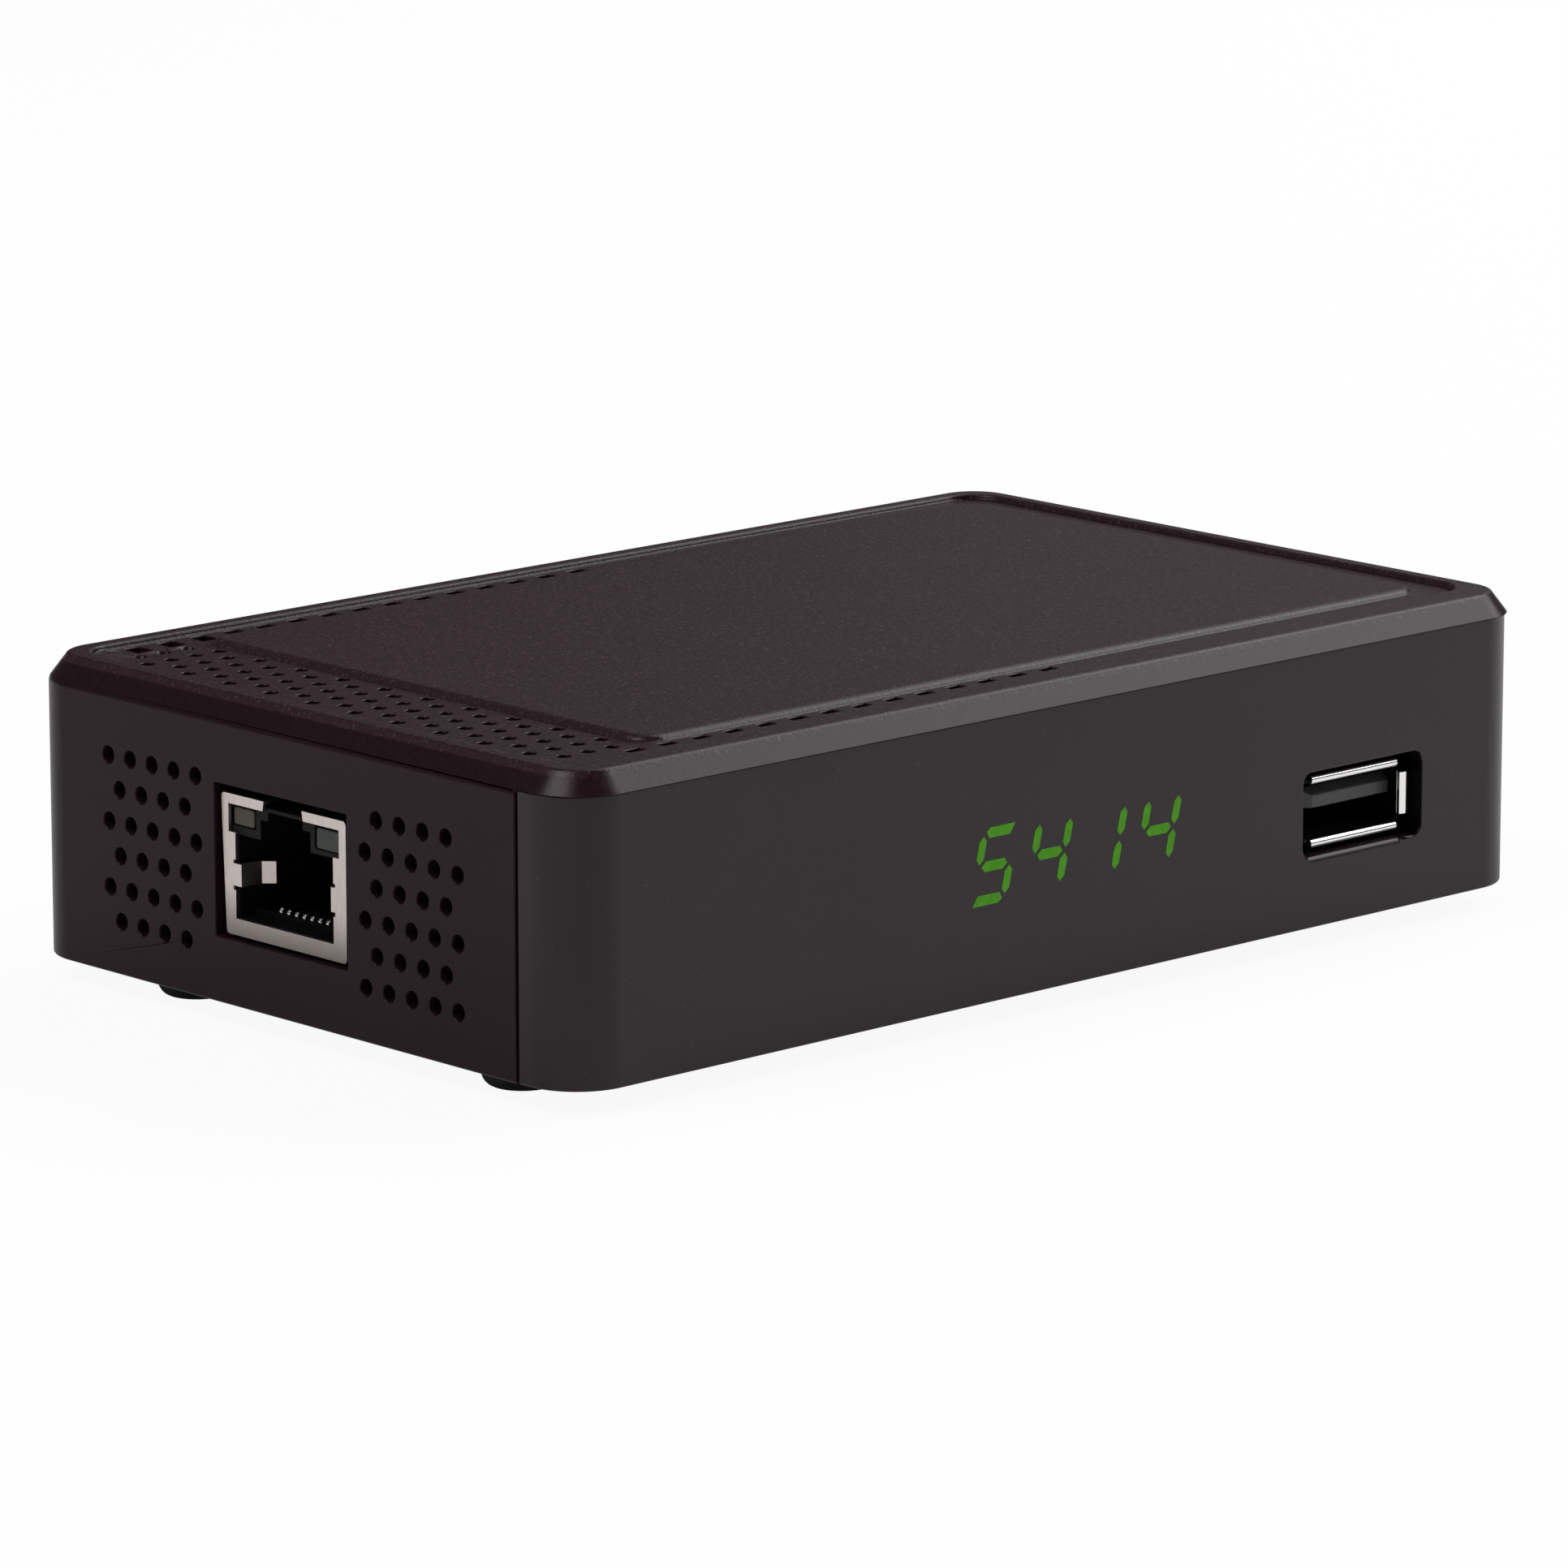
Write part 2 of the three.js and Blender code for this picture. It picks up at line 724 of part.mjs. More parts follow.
function rear_panel() {
  const half = half_width - window_side;
  const flange = block(
    [-half - flange_lap, half + flange_lap],
    [inner_y - flange_wall, inner_y],
    [floor_level, roof_level - fit],
  );
  const pad = block(
    [fit - half, half - fit],
    [inner_y - fit, pad_face],
    [floor_gap, window_level - fit],
  );
  const below = block([-half, half], [0, inner_y], [0, floor_level]);
  const through = [0, half_depth + overrun];
  const power = block(
    [power_x - power_width / 2 - fit, power_x + power_width / 2 + fit],
    through,
    [board_top - fit, board_top + power_height + fit],
  );
  const audio_level = board_top + audio_height / 2;
  const barrels = aerial_x.map((x) => (
    prism(disc(x, aerial_axis, aerial_nut_radius + fit, aerial_sides), 'y', ...through)
  ));
  const audio = prism(disc(audio_x, audio_level, audio_nose_radius + fit, post_sides), 'y', ...through);
  const plate = join(flange, pad);
  return surface(cut(plate, below, power, prism(video_shape(fit), 'y', ...through), audio, ...barrels));
}

// Network jack
const jack_low = jack_offset - jack_width / 2;
const jack_high = jack_offset + jack_width / 2;
const lamp_band = lamp_height + 2 * fit;
const port_floor = board_top + jack_bottom_strip;
const port_roof = jack_top - jack_top_strip - lamp_band;
const finger_top = board_top + jack_height / 2;

function jack_finger(side) {
  const root = jack_offset + side * (jack_width / 2 - jack_side_strip);
  const edge = root - side * finger_reach;
  const lean = THREE.MathUtils.degToRad(finger_lean);
  const along = new THREE.Vector2(Math.cos(lean), -side * Math.sin(lean));
  const across = new THREE.Vector2(Math.sin(lean), side * Math.cos(lean)).multiplyScalar(jack_sheet);
  const bend = new THREE.Vector2(jack_face, edge);
  const knee = bend.clone().addScaledVector(along, finger_length);
  const tip = new THREE.Vector2(knee.x + finger_reach, knee.y + side * finger_reach / 2);
  const points = [
    new THREE.Vector2(jack_face, root + side * fit),
    bend,
    knee,
    tip,
    tip.clone().add(new THREE.Vector2(0, side * jack_sheet)),
    knee.clone().add(across),
    new THREE.Vector2(jack_face + jack_sheet, edge + side * jack_sheet),
    new THREE.Vector2(jack_face + jack_sheet, root + side * fit),
  ];
  return prism(new THREE.Shape(points), 'z', finger_top - finger_height, finger_top);
}

function jack_shield() {
  const body = block([jack_face, jack_face + jack_depth], [jack_low, jack_high], [board_top, jack_top]);
  const hollow = block(
    [jack_face + jack_sheet, jack_face + jack_depth - jack_sheet],
    [jack_low + jack_sheet, jack_high - jack_sheet],
    [board_top - overrun, jack_top - jack_sheet],
  );
  const through = [jack_face - overrun, jack_face + 2 * jack_sheet];
  const port = block(
    through,
    [jack_low + jack_side_strip, jack_high - jack_side_strip],
    [port_floor, port_roof + fit],
  );
  const band = block(
    through,
    [jack_low + lamp_edge, jack_high - lamp_edge],
    [port_roof, jack_top - jack_top_strip],
  );
  const latch = block(
    through,
    [jack_offset - latch_width / 2, jack_offset + latch_width / 2],
    [port_roof, jack_top - jack_sheet],
  );
  const notches = [finger_top, finger_top - finger_height - finger_notch].map((z) => block(
    through,
    [jack_low + jack_side_strip - finger_notch, jack_high - jack_side_strip + finger_notch],
    [z, z + finger_notch],
  ));
  const shell = cut(solid(body), hollow, port, band, latch, ...notches);
  return surface(shell.add(solid(jack_finger(1))).add(solid(jack_finger(-1))));
}

function lamp_place(side) {
  const middle = jack_offset + side * (jack_width / 2 - lamp_edge - fit - lamp_width / 2);
  return [middle - lamp_width / 2, middle + lamp_width / 2];
}

function jack_housing() {
  const front = jack_face + jack_sheet + fit;
  const y = [jack_low + jack_sheet + fit, jack_high - jack_sheet - fit];
  const body = block([front, jack_face + jack_depth - jack_sheet - fit], y, [board_top, jack_top - jack_sheet - fit]);
  const port = block(
    [front - overrun, front + port_depth],
    [jack_offset - port_width / 2, jack_offset + port_width / 2],
    [port_floor, port_roof - fit],
  );
  const channel_top = block(
    [front - overrun, front + port_depth - fit],
    [jack_offset - latch_channel_width / 2, jack_offset + latch_channel_width / 2],
    [port_roof - 2 * fit, jack_top - jack_top_strip],
  );
  const sockets = [1, -1].map((side) => {
    const [low, high] = lamp_place(side);
    const z = [port_roof, port_roof + lamp_band];
    return block([front - overrun, front + lamp_depth], [low - fit, high + fit], z);
  });
  return surface(cut(solid(body), port, channel_top, ...sockets));
}

function jack_lamp(side) {
  const front = jack_face + jack_sheet + lamp_recess;
  const z = [port_roof + fit, port_roof + fit + lamp_height];
  return block([front, front + lamp_depth - fit], lamp_place(side), z);
}

function jack_contact(index) {
  const y = jack_offset + (index - (jack_contact_count - 1) / 2) * jack_contact_pitch;
  const x = jack_face + jack_contact_inset;
  const top = port_floor + jack_contact_rise;
  const thick = jack_contact_thick;
  const points = [
    new THREE.Vector2(x, port_floor),
    new THREE.Vector2(x + thick, port_floor),
    new THREE.Vector2(x + thick, top - thick),
    new THREE.Vector2(x + jack_contact_length, top + jack_contact_climb - thick),
    new THREE.Vector2(x + jack_contact_length, top + jack_contact_climb),
    new THREE.Vector2(x + thick / 2, top),
    new THREE.Vector2(x, top - thick / 2),
  ];
  const half = jack_contact_width / 2;
  return prism(new THREE.Shape(points), 'y', y - half, y + half);
}

// Serial bus socket
const bus_low = port_axis - bus_height / 2;
const bus_high = port_axis + bus_height / 2;
const bus_front = bus_face + bus_lip;
const tongue_top = bus_high - bus_sheet - bus_tongue_place - fit;
const tongue_low = tongue_top - bus_tongue_thick;

// One flared lip: a thin strip that leans outwards, drawn in (out, forward)
function bus_lip_points(out, sign) {
  return [
    [out, bus_front + fit],
    [out - sign * bus_sheet, bus_front + fit],
    [out - sign * bus_sheet, bus_front],
    [out + sign * (bus_flare - bus_sheet), bus_face],
    [out + sign * bus_flare, bus_face],
    [out, bus_front],
  ];
}

function bus_lips() {
  const across = bus_width / 2 - bus_lip_corner;
  const upright = bus_height / 2 - bus_lip_side_corner;
  const flat = [[bus_high, 1], [bus_low, -1]].map(([out, sign]) => {
    const points = bus_lip_points(out, sign).map(([z, y]) => new THREE.Vector2(y, z));
    return prism(new THREE.Shape(points), 'x', port_x - across, port_x + across);
  });
  const sides = [1, -1].map((sign) => {
    const points = bus_lip_points(port_x + sign * bus_width / 2, sign).map(([x, y]) => new THREE.Vector2(x, y));
    return prism(new THREE.Shape(points), 'z', port_axis - upright, port_axis + upright);
  });
  return [...flat, ...sides];
}

function bus_shell() {
  const half = bus_width / 2;
  const back = bus_face + bus_depth;
  const outer = rounded_shape([port_x - half, port_x + half], [bus_low, bus_high], bus_sheet * 2, plateau_steps);
  const inner = rounded_shape(
    [port_x - half + bus_sheet, port_x + half - bus_sheet],
    [bus_low + bus_sheet, bus_high - bus_sheet],
    bus_sheet,
    plateau_steps,
  );
  const tube = cut(
    solid(prism(outer, 'y', bus_front, back)),
    prism(inner, 'y', bus_front - overrun, back - bus_sheet),
  );
  const leg_y = [bus_front + bus_leg_width * 2, back - bus_leg_width * 2];
  const legs = leg_y.flatMap((y) => [1, -1].map((side) => {
    const edge = port_x + side * (half - bus_sheet / 2);
    const x = [edge - bus_sheet / 2, edge + bus_sheet / 2];
    return block(x, [y, y + bus_leg_width], [board_top, bus_low + bus_sheet * 2]);
  }));
  const whole = [...bus_lips(), ...legs].reduce((left, piece) => left.add(solid(piece)), tube);
  return surface(whole);
}

function bus_insulator() {
  const back = bus_face + bus_depth - bus_sheet - fit;
  const front = bus_face + bus_tongue_recess;
  const half = bus_tongue_width / 2;
  const lip = bus_tongue_thick / 2;
  const side = new THREE.Shape([
    new THREE.Vector2(front, tongue_low),
    new THREE.Vector2(back, tongue_low),
    new THREE.Vector2(back, tongue_top),
    new THREE.Vector2(front + lip, tongue_top),
    new THREE.Vector2(front, tongue_top - lip),
  ]);
  const tongue = prism(side, 'x', port_x - half, port_x + half);
  const inside = bus_width / 2 - bus_sheet - fit;
  const rear = block(
    [port_x - inside, port_x + inside],
    [back - bus_block_depth, back],
    [bus_low + bus_sheet + fit, bus_high - bus_sheet - fit],
  );
  return surface(join(tongue, rear));
}

function bus_contact(index) {
  const x = port_x + (index - (bus_contact_count - 1) / 2) * bus_contact_pitch;
  const y = [bus_face + 2 * bus_tongue_recess, bus_face + bus_depth - bus_block_depth - bus_tongue_recess];
  const half = bus_contact_width / 2;
  return block([x - half, x + half], y, [tongue_low - bus_contact_thick, tongue_low]);
}

// Display and remote-control eye
function display_module() {
  const body = block(
    [display_x - display_width / 2, display_x + display_width / 2],
    [display_face, display_face + display_thick],
    [board_top, display_axis + display_half_height],
  );
  const wells = [];
  for (let i = 0; i < digit_count; i += 1) {
    const x = display_x + (i - (digit_count - 1) / 2) * digit_pitch;
    wells.push(block(
      [x - digit_well_width / 2, x + digit_well_width / 2],
      [display_face - overrun, display_face + digit_well],
      [display_axis - digit_well_height / 2, display_axis + digit_well_height / 2],
    ));
  }
  return surface(cut(solid(body), ...wells));
}

function remote_eye() {
  const x = eye_place_share * case_width;
  const face = fit - inner_y + eye_lens_radius / 2;
  const body = block(
    [x - eye_width / 2, x + eye_width / 2],
    [face, face + eye_thick],
    [board_top, board_top + eye_height],
  );
  const lens_profile = [
    [0, -eye_lens_radius / 2],
    ...arc(0, 0, eye_lens_radius, -Math.PI / 2, Math.PI / 2, plateau_steps).slice(1).map((p) => [p.x, p.y / 2]),
    [eye_lens_radius, eye_thick / 2],
    [0, eye_thick / 2],
  ];
  const lens = turned(lens_profile, 'y', x, board_top + eye_height - eye_lens_radius - fit, face, post_sides);
  return surface(join(body, lens));
}

// Rear sockets
function power_jack() {
  const back = pad_face;
  const x = [power_x - power_width / 2, power_x + power_width / 2];
  const body = block(x, [back - power_depth, back], [board_top, board_top + power_height]);
  const level = board_top + power_bore_level;
  const bore = prism(disc(power_x, level, power_bore, post_sides), 'y', back - power_bore_depth, back + overrun);
  return surface(cut(solid(body), bore));
}

function power_pin() {
  const shape = disc(power_x, board_top + power_bore_level, power_pin_radius, screw_sides);
  return prism(shape, 'y', pad_face - power_bore_depth, pad_face - power_pin_radius);
}

function video_shell() {
  const back = pad_face + pad_setback / 2;
  const outer = prism(video_shape(0), 'y', back - video_depth, back);
  const hollow = prism(video_shape(-video_sheet), 'y', back - video_depth + video_sheet, back + overrun);
  return surface(cut(solid(outer), hollow));
}

function video_tongue() {
  const front = pad_face - fit;
  const half = video_tongue_width / 2;
  const middle = board_top + video_height / 2;
  return block(
    [video_x - half, video_x + half],
    [pad_face + pad_setback / 2 - video_depth + video_sheet, front],
    [middle, middle + video_tongue_thick],
  );
}

function audio_jack() {
  const level = board_top + audio_height / 2;
  const face = inner_y - flange_wall - fit;
  const body = block(
    [audio_x - audio_width / 2, audio_x + audio_width / 2],
    [face - audio_depth, face],
    [board_top, board_top + audio_height],
  );
  const nose = prism(disc(audio_x, level, audio_nose_radius, post_sides), 'y', face - fit, pad_face + pad_setback);
  const bore = prism(disc(audio_x, level, audio_bore, screw_sides), 'y', face - audio_depth + wall, half_depth + overrun);
  return surface(cut(join(body, nose), bore));
}

function tuner_can() {
  const middle = (aerial_x[0] + aerial_x[1]) / 2;
  const half = aerial_pitch / 2 + tuner_margin;
  const x = [middle - half, middle + half];
  const y = [tuner_back - tuner_depth, tuner_back];
  const z = [board_top, board_top + tuner_height];
  const grow = ([low, high], by) => [low - by, high + by];
  const body = block(x, y, [z[0], z[1] - tuner_sheet]);
  const lid = block(grow(x, -tuner_sheet), grow(y, -tuner_sheet), [z[1] - 2 * tuner_sheet, z[1]]);
  return surface(join(body, lid));
}

function aerial_shell(x) {
  const length = half_depth + aerial_reach - tuner_back;
  const collar = half_depth - tuner_back;
  const bore = aerial_radius - aerial_sheet;
  const profile = [
    [0, 0],
    [aerial_nut_radius, 0],
    [aerial_nut_radius, collar],
    [aerial_radius, collar + fit],
    [aerial_radius, length],
    [bore, length],
    [bore, collar - fit],
    [0, collar - fit],
  ];
  return turned(profile, 'y', x, aerial_axis, tuner_back, aerial_sides);
}

const aerial_seat = half_depth - fit;
const aerial_tip = half_depth + aerial_reach;

function aerial_core(x) {
  const length = aerial_tip - aerial_seat - fit;
  const profile = [
    [0, 0],
    [aerial_core_radius, 0],
    [aerial_core_radius, length],
    [aerial_core_bore, length],
    [aerial_core_bore, aerial_core_radius],
    [0, aerial_core_radius],
  ];
  return turned(profile, 'y', x, aerial_axis, aerial_seat, post_sides);
}

function aerial_seat_disc(x) {
  const radius = aerial_radius - aerial_sheet - fit;
  const profile = [[0, 0], [radius, 0], [radius, aerial_core_bore], [0, aerial_core_bore]];
  return turned(profile, 'y', x, aerial_axis, aerial_seat, post_sides);
}

function aerial_pin(x) {
  const length = aerial_tip - aerial_seat - aerial_core_bore - fit;
  const nose = aerial_pin_radius / 2;
  const profile = [
    [0, 0],
    [aerial_pin_radius, 0],
    [aerial_pin_radius, length - nose],
    [nose, length],
    [0, length],
  ];
  return turned(profile, 'y', x, aerial_axis, aerial_seat + aerial_core_bore, screw_sides);
}

// Parts on the main board
function seated({ width, depth, height }, x, y, level = board_top) {
  return block([x - width / 2, x + width / 2], [y - depth / 2, y + depth / 2], [level, level + height]);
}

function board_part(piece) {
  return seated(piece, piece.x_share * case_width, piece.y_share * case_depth);
}

function chip_heat_sink() {
  const { width, depth, height, base, fins, fin_share } = heat_sink;
  const level = board_top + chip.height;
  const plate = seated({ width, depth, height: base }, chip_x, chip_y, level);
  const pitch = width / fins;
  const blades = [];
  for (let i = 0; i < fins; i += 1) {
    const fin = { width: pitch * fin_share, depth, height: height - base + fit };
    blades.push(seated(fin, chip_x + (i - (fins - 1) / 2) * pitch, chip_y, level + base - fit));
  }
  return surface(join(plate, plain(blades)));
}

function capacitor(x_share) {
  const groove = capacitor_radius - capacitor_groove;
  const profile = [
    [0, 0],
    [capacitor_radius, 0],
    [capacitor_radius, capacitor_groove],
    [groove, 2 * capacitor_groove],
    [capacitor_radius, 3 * capacitor_groove],
    [capacitor_radius, capacitor_height - capacitor_groove],
    [groove, capacitor_height],
    [0, capacitor_height],
  ];
  return turned(profile, 'z', x_share * case_width, power_row_y, board_top, post_sides);
}

// Assembly
const receiver = new THREE.Group();
receiver.position.set(0, -aerial_reach / 2, foot_stand);

function add(name, geometry, finish) {
  const mesh = new THREE.Mesh(geometry, finish);
  mesh.name = name;
  receiver.add(mesh);
}

function add_each(prefix, places, make, finish) {
  Object.entries(places).forEach(([name, place]) => add(`${prefix}_${name}`, make(place), finish));
}

function add_count(prefix, count, make, finish) {
  for (let i = 0; i < count; i += 1) {
    add(`${prefix}_${i + 1}`, make(i), finish);
  }
}

add('top_cover', top_cover(), finishes.cover);
add('front_panel', front_panel(), finishes.panel);
add('bottom_cover', bottom_cover(), finishes.cover);
add('rear_panel', rear_panel(), finishes.cover);
add_each('foot', foot_places, foot, finishes.rubber);
add_each('case_screw', post_places, case_screw, finishes.steel);
add('main_board', main_board(), finishes.board);
add_each('board_screw', board_screw_places, board_screw, finishes.steel);

add('network_jack_shield', jack_shield(), finishes.steel);
add('network_jack_housing', jack_housing(), finishes.plastic);
add('network_jack_lamp_rear', jack_lamp(1), finishes.amber);
add('network_jack_lamp_front', jack_lamp(-1), finishes.green);
add_count('network_jack_contact', jack_contact_count, jack_contact, finishes.gold);

add('bus_socket_shell', bus_shell(), finishes.chrome);
add('bus_socket_insulator', bus_insulator(), finishes.plastic);
add_count('bus_socket_contact', bus_contact_count, bus_contact, finishes.gold);

add('display_module', display_module(), finishes.plastic);
add('remote_eye', remote_eye(), finishes.plastic);

add('power_jack', power_jack(), finishes.plastic);
add('power_jack_pin', power_pin(), finishes.steel);
add('video_socket_shell', video_shell(), finishes.steel);
add('video_socket_tongue', video_tongue(), finishes.plastic);
add('audio_jack', audio_jack(), finishes.plastic);
add('tuner_can', tuner_can(), finishes.steel);
add('aerial_out_shell', aerial_shell(aerial_x[0]), finishes.steel);
add('aerial_out_seat', aerial_seat_disc(aerial_x[0]), finishes.pale);
add('aerial_out_pin', aerial_pin(aerial_x[0]), finishes.steel);
add('aerial_in_shell', aerial_shell(aerial_x[1]), finishes.steel);
add('aerial_in_core', aerial_core(aerial_x[1]), finishes.pale);

add('main_chip', seated(chip, chip_x, chip_y), finishes.plastic);
add('heat_sink', chip_heat_sink(), finishes.steel);
add('memory_chip', seated(memory, memory_x, chip_y), finishes.plastic);
add('flash_chip', board_part(flash), finishes.plastic);
add('network_transformer', seated(transformer, transformer_x, jack_offset), finishes.plastic);
add('power_inductor', seated(inductor, inductor.x_share * case_width, power_row_y), finishes.plastic);
add('crystal', board_part(crystal), finishes.steel);
add('capacitor_left', capacitor(capacitor_left_share), finishes.plastic);
add('capacitor_right', capacitor(capacitor_right_share), finishes.plastic);

const part = new THREE.Group();
part.add(receiver);

export default part;
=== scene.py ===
"""A small television receiver on a plain white set."""
import math

import bmesh
import bpy
from mathutils import Matrix, Vector


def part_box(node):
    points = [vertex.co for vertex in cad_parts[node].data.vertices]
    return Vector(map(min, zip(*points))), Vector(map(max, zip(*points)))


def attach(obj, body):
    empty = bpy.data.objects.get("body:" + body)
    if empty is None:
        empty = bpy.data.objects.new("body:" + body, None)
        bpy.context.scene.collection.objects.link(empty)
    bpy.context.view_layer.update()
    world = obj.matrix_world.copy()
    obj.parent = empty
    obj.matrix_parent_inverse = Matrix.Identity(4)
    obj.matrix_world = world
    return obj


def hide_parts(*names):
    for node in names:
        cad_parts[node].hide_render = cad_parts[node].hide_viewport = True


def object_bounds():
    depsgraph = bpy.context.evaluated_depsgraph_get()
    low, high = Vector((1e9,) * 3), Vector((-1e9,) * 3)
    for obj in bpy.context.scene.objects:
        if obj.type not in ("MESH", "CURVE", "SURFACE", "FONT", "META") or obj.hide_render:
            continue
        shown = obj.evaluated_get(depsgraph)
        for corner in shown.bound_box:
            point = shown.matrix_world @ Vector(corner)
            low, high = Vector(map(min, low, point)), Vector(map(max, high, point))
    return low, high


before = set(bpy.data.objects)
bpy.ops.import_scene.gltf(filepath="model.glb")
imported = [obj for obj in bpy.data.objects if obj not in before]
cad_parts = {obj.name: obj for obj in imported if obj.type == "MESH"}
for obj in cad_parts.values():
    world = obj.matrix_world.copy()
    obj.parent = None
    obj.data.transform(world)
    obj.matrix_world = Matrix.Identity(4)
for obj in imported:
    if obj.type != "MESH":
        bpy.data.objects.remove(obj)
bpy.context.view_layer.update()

# Everything is drawn in millimetres about the middle of the casing's floor
MM = 0.001
case_low, case_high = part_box("top_cover")
floor_middle = Vector(((case_low.x + case_high.x) / 2, (case_low.y + case_high.y) / 2, case_low.z))
to_frame = Matrix.Translation(floor_middle) @ Matrix.Scale(MM, 4)
CASE = (case_high - case_low) / MM
HALF = CASE / 2
CORNERS = ("front_left", "front_right", "rear_left", "rear_right")
PAST = 1.0  # how far a cutting body passes the face it cuts
SHARP_ANGLE = 32  # degrees between two faces, from which their edge stays sharp

# Casing
CORNER = 5.4  # radius of the upright corners
CHAMFER_RUN = 1.69
CHAMFER_DROP = 2.22
WALL = 2.0
ROOF = CASE.z - 2.4  # the roof's inner face
RIM = CASE.z - CHAMFER_DROP  # the chamfer's lower edge
FRONT_RIM = RIM + 0.18  # the cover's lower edge over the front panel
HEM = 0.25  # rounding of the lower edge all round
LOWER = 0.1  # how far the skirt reaches below the casing's floor
SEAM = 7.21 - HALF.y  # where the front panel meets the side walls
HALF_SEAM = 0.15  # half the gap at that seam
PANEL_FACE = 0.44 - HALF.y
PANEL_SIDE = HALF.x - 0.1

# Network jack, in the left wall
JACK_MIDDLE = 1.37
JACK_LOW = 6.02
JACK_HIGH = 18.32
JACK_FACE = 0.5 - HALF.x
JACK_BACK = JACK_FACE + 20
JACK_SIDES = (JACK_MIDDLE - 8, JACK_MIDDLE + 8)
SHEET = 0.35  # thickness of the jack's and the bus socket's metal
PLUG_FLOOR = 7.52
PLUG_TOP = 14.75
LATCH_TOP = 17.3
CONTACT_PITCH = 1.02
CONTACT_MIDDLE = JACK_MIDDLE - 0.5

# Serial bus socket, and the port it stands in
PORT_X = 0.3128 * CASE.x
PORT_LEVEL = 10.07
PORT_HALF = 7.6
PORT_REACH = 8.0  # half the width round the port that is edged or coloured apart
PORT_FOOT = PORT_LEVEL - 3.74
PORT_HEAD = PORT_LEVEL + 3.925
BUS_FACE = PANEL_FACE + 1.0
BUS_X = (PORT_X - 6.55, PORT_X + 6.55)
BUS_Z = (PORT_LEVEL - 2.86, PORT_LEVEL + 2.86)


# ---------- shader expressions ----------

class Shade:
    """A socket of a material that takes part in sums like a number."""

    def __init__(self, socket):
        self.socket = socket
        self.tree = socket.id_data

    def node(self, kind, settings=None, out=0, **values):
        return add_node(self.tree, kind, settings, out, **values)

    def maths(self, operation, *values):
        return self.node("ShaderNodeMath", {"operation": operation}, **numbered(values))

    def __add__(self, other):
        return self.maths("ADD", self, other)

    def __radd__(self, other):
        return self.maths("ADD", other, self)

    def __sub__(self, other):
        return self.maths("SUBTRACT", self, other)

    def __rsub__(self, other):
        return self.maths("SUBTRACT", other, self)

    def __mul__(self, other):
        return self.maths("MULTIPLY", self, other)

    def __rmul__(self, other):
        return self.maths("MULTIPLY", other, self)

    def __truediv__(self, other):
        return self.maths("DIVIDE", self, other)

    def ramp(self, low, high):
        """Runs smoothly from 0 to 1 while this value runs from low to high."""
        return self.node(
            "ShaderNodeMapRange", {"interpolation_type": "SMOOTHSTEP"},
            Value=self, From_Min=low, From_Max=high, To_Min=0.0, To_Max=1.0,
        )

    def tint(self, dark, light):
        """A colour between two, by this value."""
        return self.node(
            "ShaderNodeMix", {"data_type": "RGBA"}, out=2,
            i0=self, i6=(*dark, 1), i7=(*light, 1),
        )


def numbered(values):
    """Names for sockets that go by their place."""
    return {f"i{place}": value for place, value in enumerate(values)}


def feed(tree, socket, value):
    """Sets a socket to a constant, or links an expression to it."""
    if isinstance(value, Shade):
        tree.links.new(value.socket, socket)
    else:
        socket.default_value = value


def add_node(tree, kind, settings=None, out=0, **values):
    """Adds one node: its settings first, then a value or link for each named socket."""
    node = tree.nodes.new(kind)
    for name, value in (settings or {}).items():
        setattr(node, name, value)
    for name, value in values.items():
        by_place = name[0] == "i" and name[1:].isdigit()
        feed(tree, node.inputs[int(name[1:]) if by_place else name.replace("_", " ")], value)
    return Shade(node.outputs[out])


class Finish:
    """A named material with one Principled shader, fed by expressions."""

    def __init__(self, name, **constants):
        self.material = bpy.data.materials.new(name)
        self.material.use_nodes = True
        self.tree = self.material.node_tree
        self.shader = self.tree.nodes["Principled BSDF"]
        self.place = add_node(self.tree, "ShaderNodeTexCoord", out=3)
        self.set(**constants)

    def set(self, **values):
        for name, value in values.items():
            feed(self.tree, self.shader.inputs[name.replace("_", " ")], value)

    def noise(self, size_mm, detail=2.0, stretch=None):
        """Noise with features of about the given size, drawn out along an axis where asked."""
        place = self.place
        if stretch:
            place = add_node(
                self.tree, "ShaderNodeVectorMath", {"operation": "MULTIPLY"}, i0=place, i1=stretch)
        return add_node(
            self.tree, "ShaderNodeTexNoise",
            Vector=place, Scale=1 / (size_mm * MM), Detail=detail,
        )

    def height(self):
        """Millimetres above the casing's floor."""
        level = add_node(self.tree, "ShaderNodeSeparateXYZ", out=2, Vector=self.place)
        return (level - floor_middle.z) / MM

    def facing(self, index):
        """How far the surface faces along an axis: with 2, 1 is a flat roof and 0 a wall."""
        normal = add_node(self.tree, "ShaderNodeNewGeometry", out=1)
        return add_node(self.tree, "ShaderNodeSeparateXYZ", out=index, Vector=normal)

    def bump(self, relief, depth_mm, strength):
        """Adds a fine relief and hands over the finished material."""
        self.set(Normal=add_node(
            self.tree, "ShaderNodeBump", Height=relief, Distance=depth_mm * MM, Strength=strength))
        return self.material


